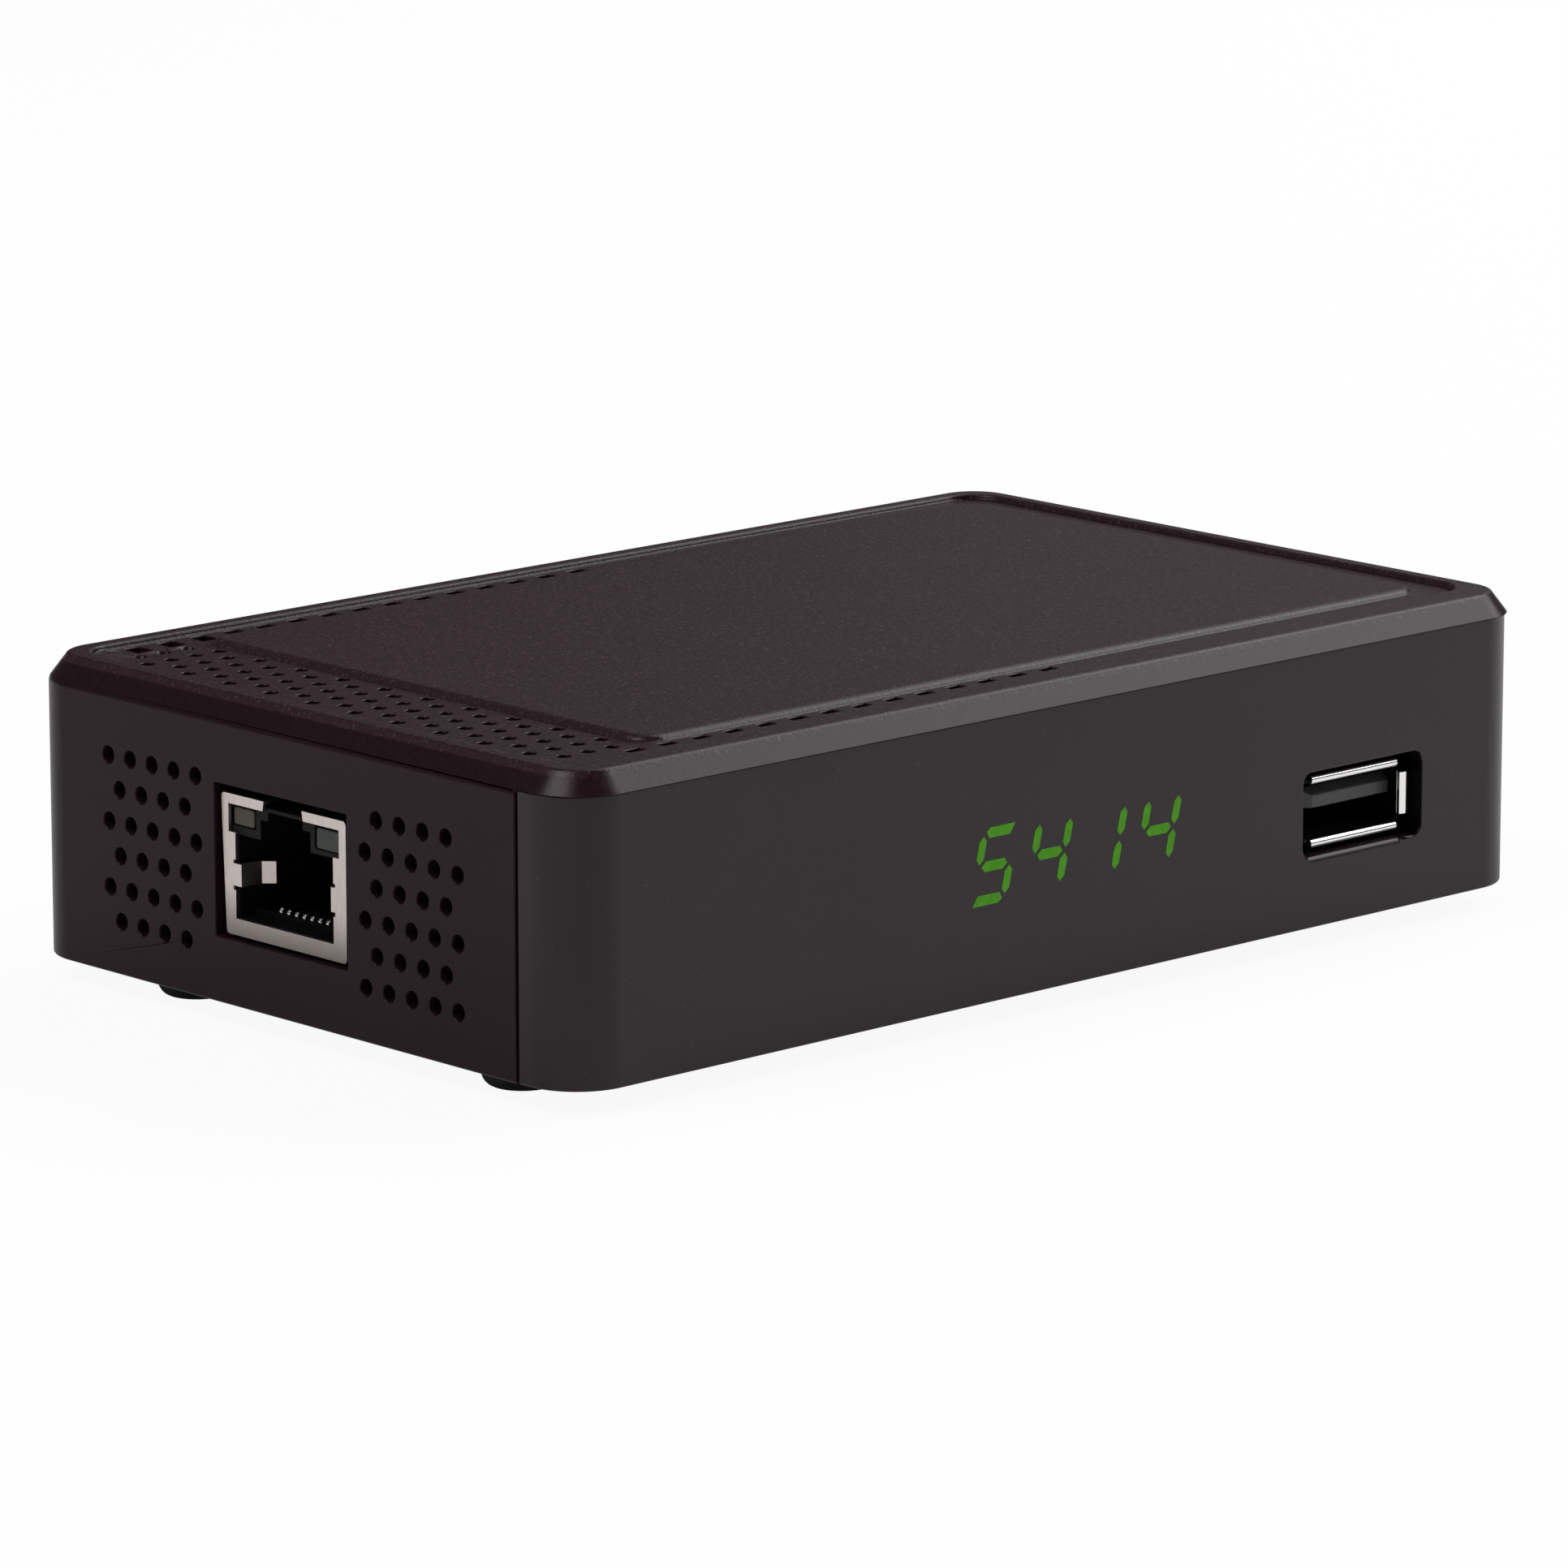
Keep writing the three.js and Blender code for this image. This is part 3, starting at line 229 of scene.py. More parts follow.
def cover_finish():
    """Dark moulded plastic: satin slopes and walls, spark-eroded grain on the roof, with painted glints and
    specks of light on the grain and painted light on the slopes that face left.
    """
    finish = Finish("grained_cover", Specular_IOR_Level=0.19)
    roof = finish.height().ramp(CASE.z - 0.7, CASE.z - 0.5)
    flat = finish.facing(2).ramp(0.75, 0.98)
    # painted light: the roof's slopes that face left get a lighter base colour, as the lamp from the left
    # lights them
    left_slope_painted_light = finish.facing(0).ramp(-0.3, -0.8) * roof
    coarse = finish.noise(0.5).ramp(0.38, 0.64)
    fine = finish.noise(0.2, 1.0).ramp(0.35, 0.68)
    grain = coarse * 0.6 + fine * 0.4
    # painted highlight: rare bright specks on the roof, standing in for glints of light on the grain
    painted_speck_glint = finish.noise(0.36, 0.0).ramp(0.67, 0.75)
    # painted highlight: the brightest grain lifts the base colour as glints of light, mostly on the roof
    painted_glint = grain.ramp(0.5, 1.0) * (0.3 + roof * 0.7)
    cloud = finish.noise(14.0)
    shade = painted_glint * 0.22 + painted_speck_glint * roof * 0.6 + cloud * 0.06 + left_slope_painted_light * 0.3
    finish.set(
        Base_Color=shade.tint((0.0142, 0.0046, 0.0071), (0.074, 0.041, 0.05)),
        Roughness=0.27 + roof * flat * 0.26 + grain * 0.06 - painted_glint * 0.06,
    )
    return finish.bump(grain * (0.25 + roof * 0.75), 0.014, 0.7)


def wall_finish():
    """The same moulding on the upright walls, where the grain is all but flat."""
    finish = Finish("satin_wall", Specular_IOR_Level=0.12)
    grain = finish.noise(0.3)
    cloud = finish.noise(14.0)
    shade = grain * 0.4 + cloud * 0.6
    finish.set(
        Base_Color=shade.tint((0.0125, 0.0046, 0.007), (0.025, 0.012, 0.0162)),
        Roughness=0.29 + grain * 0.07,
    )
    return finish.bump(grain, 0.008, 0.5)


def panel_finish():
    """Smooth satin face, with only slight waves and dust."""
    finish = Finish("satin_panel", Specular_IOR_Level=0.33)
    cloud = finish.noise(9.0, 3.0)
    pore = finish.noise(0.22, 1.0)
    dust = finish.noise(0.5, 0.0).ramp(0.8, 0.84)
    shade = cloud * 0.35 + dust * 0.65
    finish.set(
        Base_Color=shade.tint((0.0145, 0.0066, 0.0092), (0.036, 0.024, 0.028)),
        Roughness=0.3 + cloud * 0.06 + pore * 0.03,
    )
    return finish.bump(pore * 0.5 + cloud * 0.5, 0.006, 0.4)


def plastic_finish(name, dark, light, roughness, grain_mm=0.3, gloss=0.5):
    """Plain moulded plastic."""
    finish = Finish(name, Specular_IOR_Level=gloss)
    grain = finish.noise(grain_mm)
    cloud = finish.noise(4.0)
    finish.set(
        Base_Color=(grain * 0.5 + cloud * 0.5).tint(dark, light),
        Roughness=roughness - 0.06 + cloud * 0.12,
    )
    return finish.bump(grain, 0.01, 0.4)


def metal_finish(name, dark, light, roughness, run=None):
    """Rolled or plated sheet, with faint streaks along its run."""
    finish = Finish(name, Metallic=1.0)
    streak = finish.noise(0.35, 3.0, run)
    stain = finish.noise(2.6, 3.0)
    finish.set(
        Base_Color=(streak * 0.4 + stain * 0.6).tint(dark, light),
        Roughness=roughness - 0.08 + stain * 0.12 + streak * 0.06,
    )
    return finish.bump(streak, 0.004, 0.5)


def shield_finish():
    """Tinned sheet of the jack, with painted shade towards its foot, where it mirrors the shadowed floor."""
    finish = Finish("tinned_shield", Metallic=1.0)
    streak = finish.noise(0.3, 3.0, (1, 1, 0.25))
    stain = finish.noise(1.8, 3.0)
    # painted shade: the base colour darkens below 11 mm, for the shadowed floor that the lower sheet mirrors
    painted_light_by_height = finish.height().ramp(4.5, 11.0)
    shade = painted_light_by_height * (0.55 + stain * 0.3 + streak * 0.3)
    finish.set(
        Base_Color=shade.tint((0.17, 0.145, 0.137), (0.74, 0.67, 0.63)),
        Roughness=0.26 + stain * 0.14,
    )
    return finish.bump(streak * 0.5 + stain * 0.5, 0.012, 0.5)


def lamp_finish(name, dark, light):
    """Tinted clear plastic over an unlit lamp."""
    finish = Finish(name, Specular_IOR_Level=0.3, Coat_Weight=0.1, Coat_Roughness=0.2)
    depth = finish.noise(0.9)
    finish.set(Base_Color=depth.tint(dark, light), Roughness=0.25 + depth * 0.15)
    return finish.bump(depth, 0.01, 0.3)


def segment_finish():
    """Green light that comes through the dark face."""
    finish = Finish(
        "lit_segment",
        Base_Color=(0.01, 0.015, 0.005, 1), Roughness=0.5, Specular_IOR_Level=0.05,
        Emission_Strength=1.0,
    )
    spread = finish.noise(0.9, 1.0)
    finish.set(Emission_Color=spread.tint((0.032, 0.15, 0.005), (0.062, 0.27, 0.014)))
    return finish.material


def board_finish():
    """Green solder mask with the faint relief of its tracks."""
    finish = Finish("solder_mask")
    track = finish.noise(1.2, 0.0, (1, 0.3, 1)).ramp(0.45, 0.55)
    cloud = finish.noise(6.0)
    finish.set(
        Base_Color=(track * 0.6 + cloud * 0.4).tint((0.008, 0.045, 0.016), (0.018, 0.09, 0.034)),
        Roughness=0.32 + cloud * 0.15,
    )
    return finish.bump(track, 0.03, 0.5)


COVER = cover_finish()
WALLS = wall_finish()
PANEL = panel_finish()
RUBBER = plastic_finish("foot_rubber", (0.006, 0.0055, 0.006), (0.014, 0.013, 0.0135), 0.75)
BLACK = plastic_finish("socket_black", (0.006, 0.0055, 0.006), (0.015, 0.014, 0.0145), 0.42)
HOUSING = plastic_finish("housing_black", (0.0035, 0.0031, 0.0028), (0.0085, 0.0078, 0.007), 0.5, gloss=0.15)
# Painted shade: a near-black finish laid on faces deep in the ports and sockets, where shade falls
PAINTED_SHADE = plastic_finish("painted_shade_black", (0.002, 0.0018, 0.0017), (0.005, 0.0046, 0.0044), 0.6, gloss=0.06)
TONGUE = plastic_finish("tongue_grey", (0.04, 0.038, 0.039), (0.065, 0.062, 0.063), 0.4)
TIN = metal_finish("tinned_sheet", (0.5, 0.45, 0.42), (0.72, 0.67, 0.64), 0.34)
CHROME = metal_finish("bright_plate", (0.78, 0.76, 0.75), (0.92, 0.91, 0.9), 0.16)
SHIELD = shield_finish()
STEEL = metal_finish("plain_steel", (0.38, 0.37, 0.36), (0.56, 0.55, 0.54), 0.34)
GOLD = metal_finish("gold_flash", (0.72, 0.5, 0.2), (0.92, 0.74, 0.4), 0.24)
PALE = plastic_finish("pale_insulator", (0.6, 0.58, 0.52), (0.72, 0.7, 0.65), 0.45)
AMBER = lamp_finish("amber_lamp", (0.022, 0.019, 0.008), (0.09, 0.083, 0.05))
GREEN = lamp_finish("green_lamp", (0.012, 0.017, 0.013), (0.045, 0.06, 0.048))
CONTACT = metal_finish("contact_plate", (0.84, 0.8, 0.74), (0.95, 0.93, 0.9), 0.24)
CHIP = plastic_finish("moulded_chip", (0.011, 0.011, 0.012), (0.021, 0.021, 0.022), 0.62, 0.12)
FERRITE = plastic_finish("pressed_ferrite", (0.03, 0.03, 0.032), (0.075, 0.074, 0.076), 0.7, 0.2)
SLEEVE = plastic_finish("shrink_sleeve", (0.008, 0.012, 0.03), (0.014, 0.02, 0.05), 0.3, 0.8)
ALLOY = metal_finish("black_anodised", (0.05, 0.05, 0.053), (0.09, 0.09, 0.094), 0.42, (1, 0.1, 1))
BOARD = board_finish()
SEGMENT = segment_finish()


# ---------- outlines ----------

def arc(cx, cy, radius, start, turn, steps):
    """Points on an arc, from a start angle through a turn, in degrees."""
    points = []
    for step in range(steps + 1):
        angle = math.radians(start + turn * step / steps)
        points.append((cx + radius * math.cos(angle), cy + radius * math.sin(angle)))
    return points


def disc(cx, cy, radius, sides):
    return arc(cx, cy, radius, 180 / sides, 360, sides)[:-1]


def box_outline(x, y):
    return [(x[0], y[0]), (x[1], y[0]), (x[1], y[1]), (x[0], y[1])]


def rounded(x, y, radius, steps):
    """A rectangle between two pairs of sides, with round corners."""
    (x0, x1), (y0, y1) = x, y
    return [
        *arc(x0 + radius, y0 + radius, radius, 180, 90, steps),
        *arc(x1 - radius, y0 + radius, radius, 270, 90, steps),
        *arc(x1 - radius, y1 - radius, radius, 0, 90, steps),
        *arc(x0 + radius, y1 - radius, radius, 90, 90, steps),
    ]


def casing_outline(inset, steps=18):
    x = (inset - HALF.x, HALF.x - inset)
    y = (inset - HALF.y, HALF.y - inset)
    return rounded(x, y, CORNER - inset, steps)


def panel_outline(inset):
    x = PANEL_SIDE - inset
    return rounded((-x, x), (PANEL_FACE + inset, HALF.y - inset), CORNER - inset, 18)


def round_over(steps):
    """How far in and how far up a round lower edge is at each step, as shares of its radius."""
    angles = [math.pi / 2 * step / steps for step in range(steps + 1)]
    return [(1 - math.sin(angle), 1 - math.cos(angle)) for angle in angles]


def hem(outline):
    """The rings of the rounded lower edge of the casing."""
    return [(outline(HEM * inward), HEM * upward - LOWER) for inward, upward in round_over(4)]


# ---------- bodies ----------

def mesh_object(name, bm):
    bmesh.ops.recalc_face_normals(bm, faces=bm.faces)
    mesh = bpy.data.meshes.new(name)
    bm.to_mesh(mesh)
    bm.free()
    body = bpy.data.objects.new(name, mesh)
    bpy.context.scene.collection.objects.link(body)
    return body


def stack(bm, rings):
    """Joins rings of 3-D points with quads and closes both ends."""
    loops = [[bm.verts.new(point) for point in ring] for ring in rings]
    count = len(loops[0])
    for low, high in zip(loops, loops[1:]):
        for i in range(count):
            j = (i + 1) % count
            bm.faces.new((low[i], low[j], high[j], high[i]))
    bm.faces.new(loops[0][::-1])
    bm.faces.new(loops[-1])


def loft(name, *rings):
    """A body through (outline, z) rings."""
    bm = bmesh.new()
    stack(bm, [[(x, y, z) for x, y in outline] for outline, z in rings])
    return mesh_object(name, bm)


def prisms(name, axis, low, high, outlines):
    """Bodies with the given outlines across an axis, from low to high along it."""
    turn = {
        "x": lambda u, v, w: (w, u, v),
        "y": lambda u, v, w: (u, w, v),
        "z": lambda u, v, w: (u, v, w),
    }[axis]
    bm = bmesh.new()
    for outline in outlines:
        stack(bm, [[turn(u, v, w) for u, v in outline] for w in (low, high)])
    return mesh_object(name, bm)


def prism(name, axis, low, high, outline):
    return prisms(name, axis, low, high, [outline])


def block(name, x, y, z):
    return prism(name, "z", *z, box_outline(x, y))


def boolean(body, operation, tools):
    """Cuts or joins bodies exactly, and takes the tools away."""
    for tool in tools:
        change = body.modifiers.new(operation, "BOOLEAN")
        change.operation = operation
        change.solver = "EXACT"
        change.object = tool
    bpy.context.view_layer.update()
    made = bpy.data.meshes.new_from_object(body.evaluated_get(bpy.context.evaluated_depsgraph_get()))
    body.modifiers.clear()
    body.data = made
    for tool in tools:
        bpy.data.objects.remove(tool)
    return body


def cut(body, *tools):
    return boolean(body, "DIFFERENCE", tools)


def join(body, *tools):
    return boolean(body, "UNION", tools)


def small_faces(body):
    """Splits the faces that have holes or many corners into even triangles, so that they shade flat."""
    splinter_mm, flat_angle = 0.004, 0.002
    bm = bmesh.new()
    bm.from_mesh(body.data)
    bmesh.ops.dissolve_degenerate(bm, dist=splinter_mm, edges=bm.edges)
    bmesh.ops.triangulate(bm, faces=[face for face in bm.faces if len(face.verts) > 4])
    triangles = [face for face in bm.faces if len(face.verts) == 3]
    flat = [
        edge for edge in bm.edges
        if len(edge.link_faces) == 2 and edge.calc_face_angle() < flat_angle
        and all(len(face.verts) == 3 for face in edge.link_faces)
    ]
    bmesh.ops.beautify_fill(bm, faces=triangles, edges=flat, method="ANGLE")
    bm.to_mesh(body.data)
    bm.free()


def weigh_edges(body, angle, share):
    """Gives each edge sharper than the angle its share of the rounding, by the edge's middle."""
    bm = bmesh.new()
    bm.from_mesh(body.data)
    weight = bm.edges.layers.float.new("bevel_weight_edge")
    for edge in bm.edges:
        if len(edge.link_faces) == 2 and edge.calc_face_angle() > math.radians(angle):
            middle = (edge.verts[0].co + edge.verts[1].co) / 2
            edge[weight] = share(middle)
    bm.to_mesh(body.data)
    bm.free()


def soften(body, width, segments, angle, share=None):
    """Rounds each edge sharper than the angle, all alike or by the share for its place."""
    bevel = body.modifiers.new("rounded_edges", "BEVEL")
    bevel.width = width * MM
    bevel.segments = segments
    bevel.limit_method = "WEIGHT" if share else "ANGLE"
    bevel.angle_limit = math.radians(angle)
    bevel.harden_normals = True
    bevel.use_clamp_overlap = False
    bevel.loop_slide = False
    bevel.miter_outer = "MITER_ARC"
    if share:
        weigh_edges(body, angle, share)
        body.modifiers.new("even_walls", "WEIGHTED_NORMAL").keep_sharp = True


def dress(body, material, slot, *nodes):
    """Puts a finished body in the frame: smooth, coloured, riding, and in place of its nodes."""
    body.data.transform(to_frame)
    body.data.materials.clear()
    body.data.materials.append(material)
    body.data.shade_smooth()
    if not body.modifiers:
        body.data.set_sharp_from_angle(angle=math.radians(SHARP_ANGLE))
    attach(body, "root")
    if nodes:
        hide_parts(*nodes)


def paint(body, material, wanted):
    """Gives some faces of a dressed body a second finish, picked by their middle and normal."""
    body.data.materials.append(material)
    for face in body.data.polygons:
        if wanted((face.center - floor_middle) / MM, face.normal):
            face.material_index = 1


def box_in_mm(node):
    """The two corners of a node's box, about the middle of the casing's floor."""
    return [(corner - floor_middle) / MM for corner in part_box(node)]


# ---------- casing ----------

# The recessed ring in the roof, and the plateau inside it
RING_WIDTH = 3.45
VENT_BAND = 12.05  # the ring's width on the left, where the round vents are
RING_X = (CHAMFER_RUN + 1.5 - HALF.x, HALF.x - CHAMFER_RUN - 1.5)
RING_Y = (CHAMFER_RUN + 3.1 - HALF.y, HALF.y - CHAMFER_RUN - 1.5)
PLATEAU_X = (RING_X[0] + VENT_BAND, RING_X[1] - RING_WIDTH)
PLATEAU_Y = (RING_Y[0] + RING_WIDTH, RING_Y[1] - RING_WIDTH)
RING_FLOOR = CASE.z - 0.55
RING_CORNER = 3.6
RING_LEAN = 0.1
PLATEAU_CORNER = 2.0
PLATEAU_SLOPE = 0.42

# Vents: radius or half size, then the steps from one to the next
ROOF_VENT_RADIUS = 0.63
ROOF_VENT_STEP = (1.335, 2.763)
ROOF_VENT_INSET = (1.44, 0.98)
SLOT_HALF = (0.9, 1.05)
SLOT_STEP = 3.69
SLOT_START = 5.8
SLOT_INSET = 1.62
SIDE_VENT_RADIUS = 0.76
SIDE_VENT_STEP = (2.94, 2.916)
SIDE_VENT_DROP = 7.45

# The fields that hold the round vents and the slots
VENT_FIELD_X = (PLATEAU_X[0] - 10.5, PLATEAU_X[0] - 0.5)
VENT_FIELD_Y = (-28.6, 28.6)
SLOT_FIELD_X = (-52, 6)

REAR_WINDOW_INSET = 9
REAR_WINDOW_TOP = 21.5
JACK_ROOM = 8.67  # half the width of the wall's cut-out for the jack

# The rounding of the cover's and the panel's edges, and the shares of it that finer edges get
COVER_ROUNDING = 0.42
COVER_ROOF_SHARE = 0.62
COVER_FINE_SHARE = 0.27
PANEL_ROUNDING = 0.2
PANEL_FINE_SHARE = 0.3

# The slope along the port's sill
LEAD_IN = 0.26
LEAD_X = (PORT_X - 6.9, PORT_X + 4.9)


def roof_vents():
    """Staggered round holes in the wide left part of the ring."""
    holes = []
    for column in range(7):
        x = PLATEAU_X[0] - ROOF_VENT_INSET[0] - ROOF_VENT_STEP[0] * column
        for row in range((column + 1) % 2, 21, 2):
            y = PLATEAU_Y[0] + ROOF_VENT_INSET[1] + ROOF_VENT_STEP[1] * row
            holes.append(disc(x, y, ROOF_VENT_RADIUS, 16))
    return prisms("vents", "z", ROOF - PAST, CASE.z, holes)


def roof_slots():
    """Two rows of near-square holes along the ring's front and rear."""
    slots = []
    for y, first, shift in ((RING_Y[0] + SLOT_INSET, 1, 0.35), (RING_Y[1] - SLOT_INSET, 0, 0)):
        for place in range(first, 15):
            x = RING_X[0] + SLOT_START + shift + SLOT_STEP * place
            sides = [(at - half, at + half) for at, half in zip((x, y), SLOT_HALF)]
            slots.append(rounded(*sides, 0.2, 2))
    return prisms("slots", "z", ROOF - PAST, CASE.z, slots)


def side_vents():
    """Rows of five and four round holes by turns, on either side of the jack."""
    across, down = SIDE_VENT_STEP
    holes = []
    for start, step, full in ((JACK_MIDDLE + 11.14, across, 0), (JACK_MIDDLE - 11.01, -across, 1)):
        for row in range(6):
            z = CASE.z - SIDE_VENT_DROP - down * row
            short = 0 if row % 2 == full else 1
            for place in range(5 - short):
                holes.append(disc(start + step * (place + short / 2), z, SIDE_VENT_RADIUS, 20))
    return prisms("holes", "x", -HALF.x - PAST, PAST + WALL - HALF.x, holes)


def ring_recess():
    """The channel round the plateau, with sloped sides, as one body with a hole in it."""
    def outline(span_x, span_y, radius, grow):
        x = (span_x[0] - grow, span_x[1] + grow)
        y = (span_y[0] - grow, span_y[1] + grow)
        return rounded(x, y, radius + grow, 10)

    depth = CASE.z - RING_FLOOR
    outer = loft(
        "ring",
        (outline(RING_X, RING_Y, RING_CORNER, -RING_LEAN), RING_FLOOR),
        (outline(RING_X, RING_Y, RING_CORNER, RING_LEAN), RING_FLOOR + 2 * depth),
    )
    inner = loft(
        "plateau",
        (outline(PLATEAU_X, PLATEAU_Y, PLATEAU_CORNER, 2 * PLATEAU_SLOPE), RING_FLOOR - depth),
        (outline(PLATEAU_X, PLATEAU_Y, PLATEAU_CORNER, -2 * PLATEAU_SLOPE), RING_FLOOR + 3 * depth),
    )
    return cut(outer, inner)


def within(value, span, margin=0.0):
    return span[0] - margin < value < span[1] + margin


def cover_share(point):
    """The share of the cover's rounding that an edge here gets."""
    at_vent = within(point.x, VENT_FIELD_X) and within(point.y, VENT_FIELD_Y)
    at_slot = within(point.x, SLOT_FIELD_X) and (
        within(point.y, (RING_Y[0], PLATEAU_Y[0]), -0.4) or within(point.y, (PLATEAU_Y[1], RING_Y[1]), -0.4))
    at_hole = point.z < CASE.z - 0.1 and (at_vent or at_slot)
    if point.z > CASE.z - 0.05 and within(point.x, PLATEAU_X, 0.8) and within(point.y, PLATEAU_Y, 0.8):
        return 1.0  # round the plateau
    if abs(point.z - RING_FLOOR) < 0.1 and not at_hole:
        return 0.0  # the ring's foot stays sharp
    on_roof = point.z > RING_FLOOR - 0.1 and not at_hole
    at_chamfer = RIM - 0.05 < point.z < RIM + 0.3 and point.y >= SEAM
    return COVER_ROOF_SHARE if on_roof or at_chamfer else COVER_FINE_SHARE


def top_cover():
    shell = loft(
        "moulded_cover",
        *hem(casing_outline),
        (casing_outline(0), RIM),
        (casing_outline(CHAMFER_RUN), CASE.z),
    )
    left_wall = (-HALF.x - PAST, PAST + WALL - HALF.x)
    cavity = prism("cavity", "z", -PAST, ROOF, casing_outline(WALL, 10))
    mouth = block("mouth", (-HALF.x - PAST, HALF.x + PAST), (-HALF.y - PAST, SEAM + HALF_SEAM),
                  (-PAST, FRONT_RIM))
    window = block("window", (REAR_WINDOW_INSET - HALF.x, HALF.x - REAR_WINDOW_INSET),
                   (HALF.y - WALL - PAST, HALF.y + PAST), (-PAST, REAR_WINDOW_TOP))
    jack = block("jack", left_wall, (JACK_MIDDLE - JACK_ROOM, JACK_MIDDLE + JACK_ROOM),
                 (JACK_LOW - 0.3, JACK_HIGH + 0.8))
    cut(shell, cavity, mouth, window, jack, ring_recess(), roof_vents(), roof_slots(), side_vents())
    small_faces(shell)
    soften(shell, COVER_ROUNDING, 4, 24, cover_share)
    dress(shell, COVER, "cover", "top_cover")
    paint(shell, WALLS, lambda middle, normal: abs(normal.z) < 0.3 and middle.z < RIM)


def panel_share(point):
    """The share of the panel's rounding that an edge here gets."""
    at_port = (abs(point.x - PORT_X) < PORT_REACH and point.y < PANEL_FACE + 0.1
               and point.z < FRONT_RIM - 1)
    return 1.0 if at_port else PANEL_FINE_SHARE


def in_port(middle, normal):
    """Picks the left and right cheeks of the bus socket's port, which get painted shade."""
    across, up, deep = middle.x - PORT_X, middle.z - PORT_LEVEL, middle.y - PANEL_FACE
    return (abs(across) < PORT_REACH and abs(up) < 4.5 and 0.2 < deep < 3
            and normal.x * across < 0)


def front_panel():
    shell = loft("wrapped_panel", *hem(panel_outline), (panel_outline(0), FRONT_RIM - 0.03))
    cavity = prism("cavity", "z", -PAST, CASE.z, casing_outline(WALL, 10))
    behind = block("behind", (-HALF.x, HALF.x), (SEAM - HALF_SEAM, HALF.y + PAST), (-PAST, CASE.z))
    port = prism("port", "y", -HALF.y - PAST, PAST + WALL - HALF.y,
                 rounded((PORT_X - PORT_HALF, PORT_X + PORT_HALF), (PORT_FOOT, PORT_HEAD), 1.0, 5))
    lead = prism("lead_in", "x", *LEAD_X, [
        (PANEL_FACE - PAST, PORT_FOOT - PAST - LEAD_IN), (PANEL_FACE - PAST, PORT_FOOT + PAST),
        (PANEL_FACE + LEAD_IN, PORT_FOOT + PAST), (PANEL_FACE + LEAD_IN, PORT_FOOT),
    ])
    cut(shell, cavity, behind, port, lead)
    small_faces(shell)
    soften(shell, PANEL_ROUNDING, 3, 24, panel_share)
    dress(shell, PANEL, "panel", "front_panel")
    # painted shade on the port's cheeks
    paint(shell, PAINTED_SHADE, in_port)


FOOT_GROWTH = 0.55  # wider than the solid, by this much all round
FOOT_LEFT = {"front": 0.4, "rear": 0.1}  # how far to the left of the solid
FOOT_BACK = 0.3  # how far behind the solid
FOOT_ROUNDING = (1.1, 1.4)  # across and up


def feet():
    for place in CORNERS:
        low, high = box_in_mm(f"foot_{place}")
        cx = (low.x + high.x) / 2 - FOOT_LEFT[place.split("_")[0]]
        cy = (low.y + high.y) / 2 + FOOT_BACK
        radius = (high.x - low.x) / 2 + FOOT_GROWTH
        across, up = FOOT_ROUNDING
        rings = [(disc(cx, cy, radius - across * inward, 48), low.z + up * upward)
                 for inward, upward in round_over(6)]
        foot = loft(f"round_foot_{place}", *rings, (disc(cx, cy, radius, 48), high.z))
        dress(foot, RUBBER, "rubber", f"foot_{place}")


# ---------- network jack ----------

def spring_finger(side, root, bend, z):
    """A tongue of the shield that folds back into the port and springs inwards at its end."""
    inside = bend - 0.08 * side
    tip = inside - 0.88 * side
    outline = [
        (JACK_FACE, root), (JACK_FACE, bend), (JACK_FACE + 2.2, inside), (JACK_FACE + 3.08, tip),
        (JACK_FACE + 3.29, tip + 0.21 * side), (JACK_FACE + 2.3, inside + 0.3 * side),
        (JACK_FACE + 0.3, bend + 0.3 * side), (JACK_FACE + 0.3, root),
    ]
    return prism("finger", "z", *z, outline)


def jack_shield():
    """Folded sheet with its plug opening, a notch at the top and two spring fingers."""
    front, back = JACK_SIDES
    fold = 0.4
    rear_low, rear_high = back - 0.2, back + 0.3
    outline = [
        *arc(front + fold, JACK_LOW + fold, fold, 180, 90, 4),
        *arc(rear_low - fold, JACK_LOW + fold, fold, 270, 90, 4),
        *arc(rear_high - fold, JACK_HIGH - fold, fold, 0, 90, 4),
        *arc(front + fold, JACK_HIGH - fold, fold, 90, 90, 4),
    ]
    shell = prism("folded_shield", "x", JACK_FACE, JACK_BACK, outline)
    inside = block("inside", (JACK_FACE + SHEET, JACK_BACK - SHEET), (front + SHEET, back - SHEET),
                   (JACK_LOW - PAST, JACK_HIGH - SHEET))
    notch = prism("notch", "x", JACK_FACE - PAST, JACK_FACE + 3, [
        (front + 5.54, LATCH_TOP), (back - 5.12, LATCH_TOP),
        (back - 5.48, JACK_HIGH + PAST), (front + 5.92, JACK_HIGH + PAST),
    ])
    # The plug opening, the band with the lamps above it, and the slits beside the fingers
    windows = [
        box_outline((front + 1.7, back - 1.5), (PLUG_FLOOR, 15.06)),
        box_outline((front + 0.92, back - 0.62), (15.0, 17.42)),
        box_outline((back - 2.0, back - 1.22), (12.31, 12.6)),
        box_outline((back - 2.0, back - 1.22), (9.98, 10.34)),
        box_outline((front + 1.46, front + 2.0), (12.42, 12.7)),
        box_outline((front + 1.46, front + 2.0), (9.9, 10.24)),
    ]
    cut(shell, inside, notch, *[
        prism("window", "x", JACK_FACE - PAST, JACK_FACE + 2 * SHEET, outline) for outline in windows])
    join(shell, spring_finger(1, back - 1.3, back - 2.26, (10.34, 12.31)),
         spring_finger(-1, front + 1.5, front + 2.0, (10.24, 12.42)))
    small_faces(shell)
    soften(shell, 0.03, 2, 40)
    dress(shell, SHIELD, "steel", "network_jack_shield")


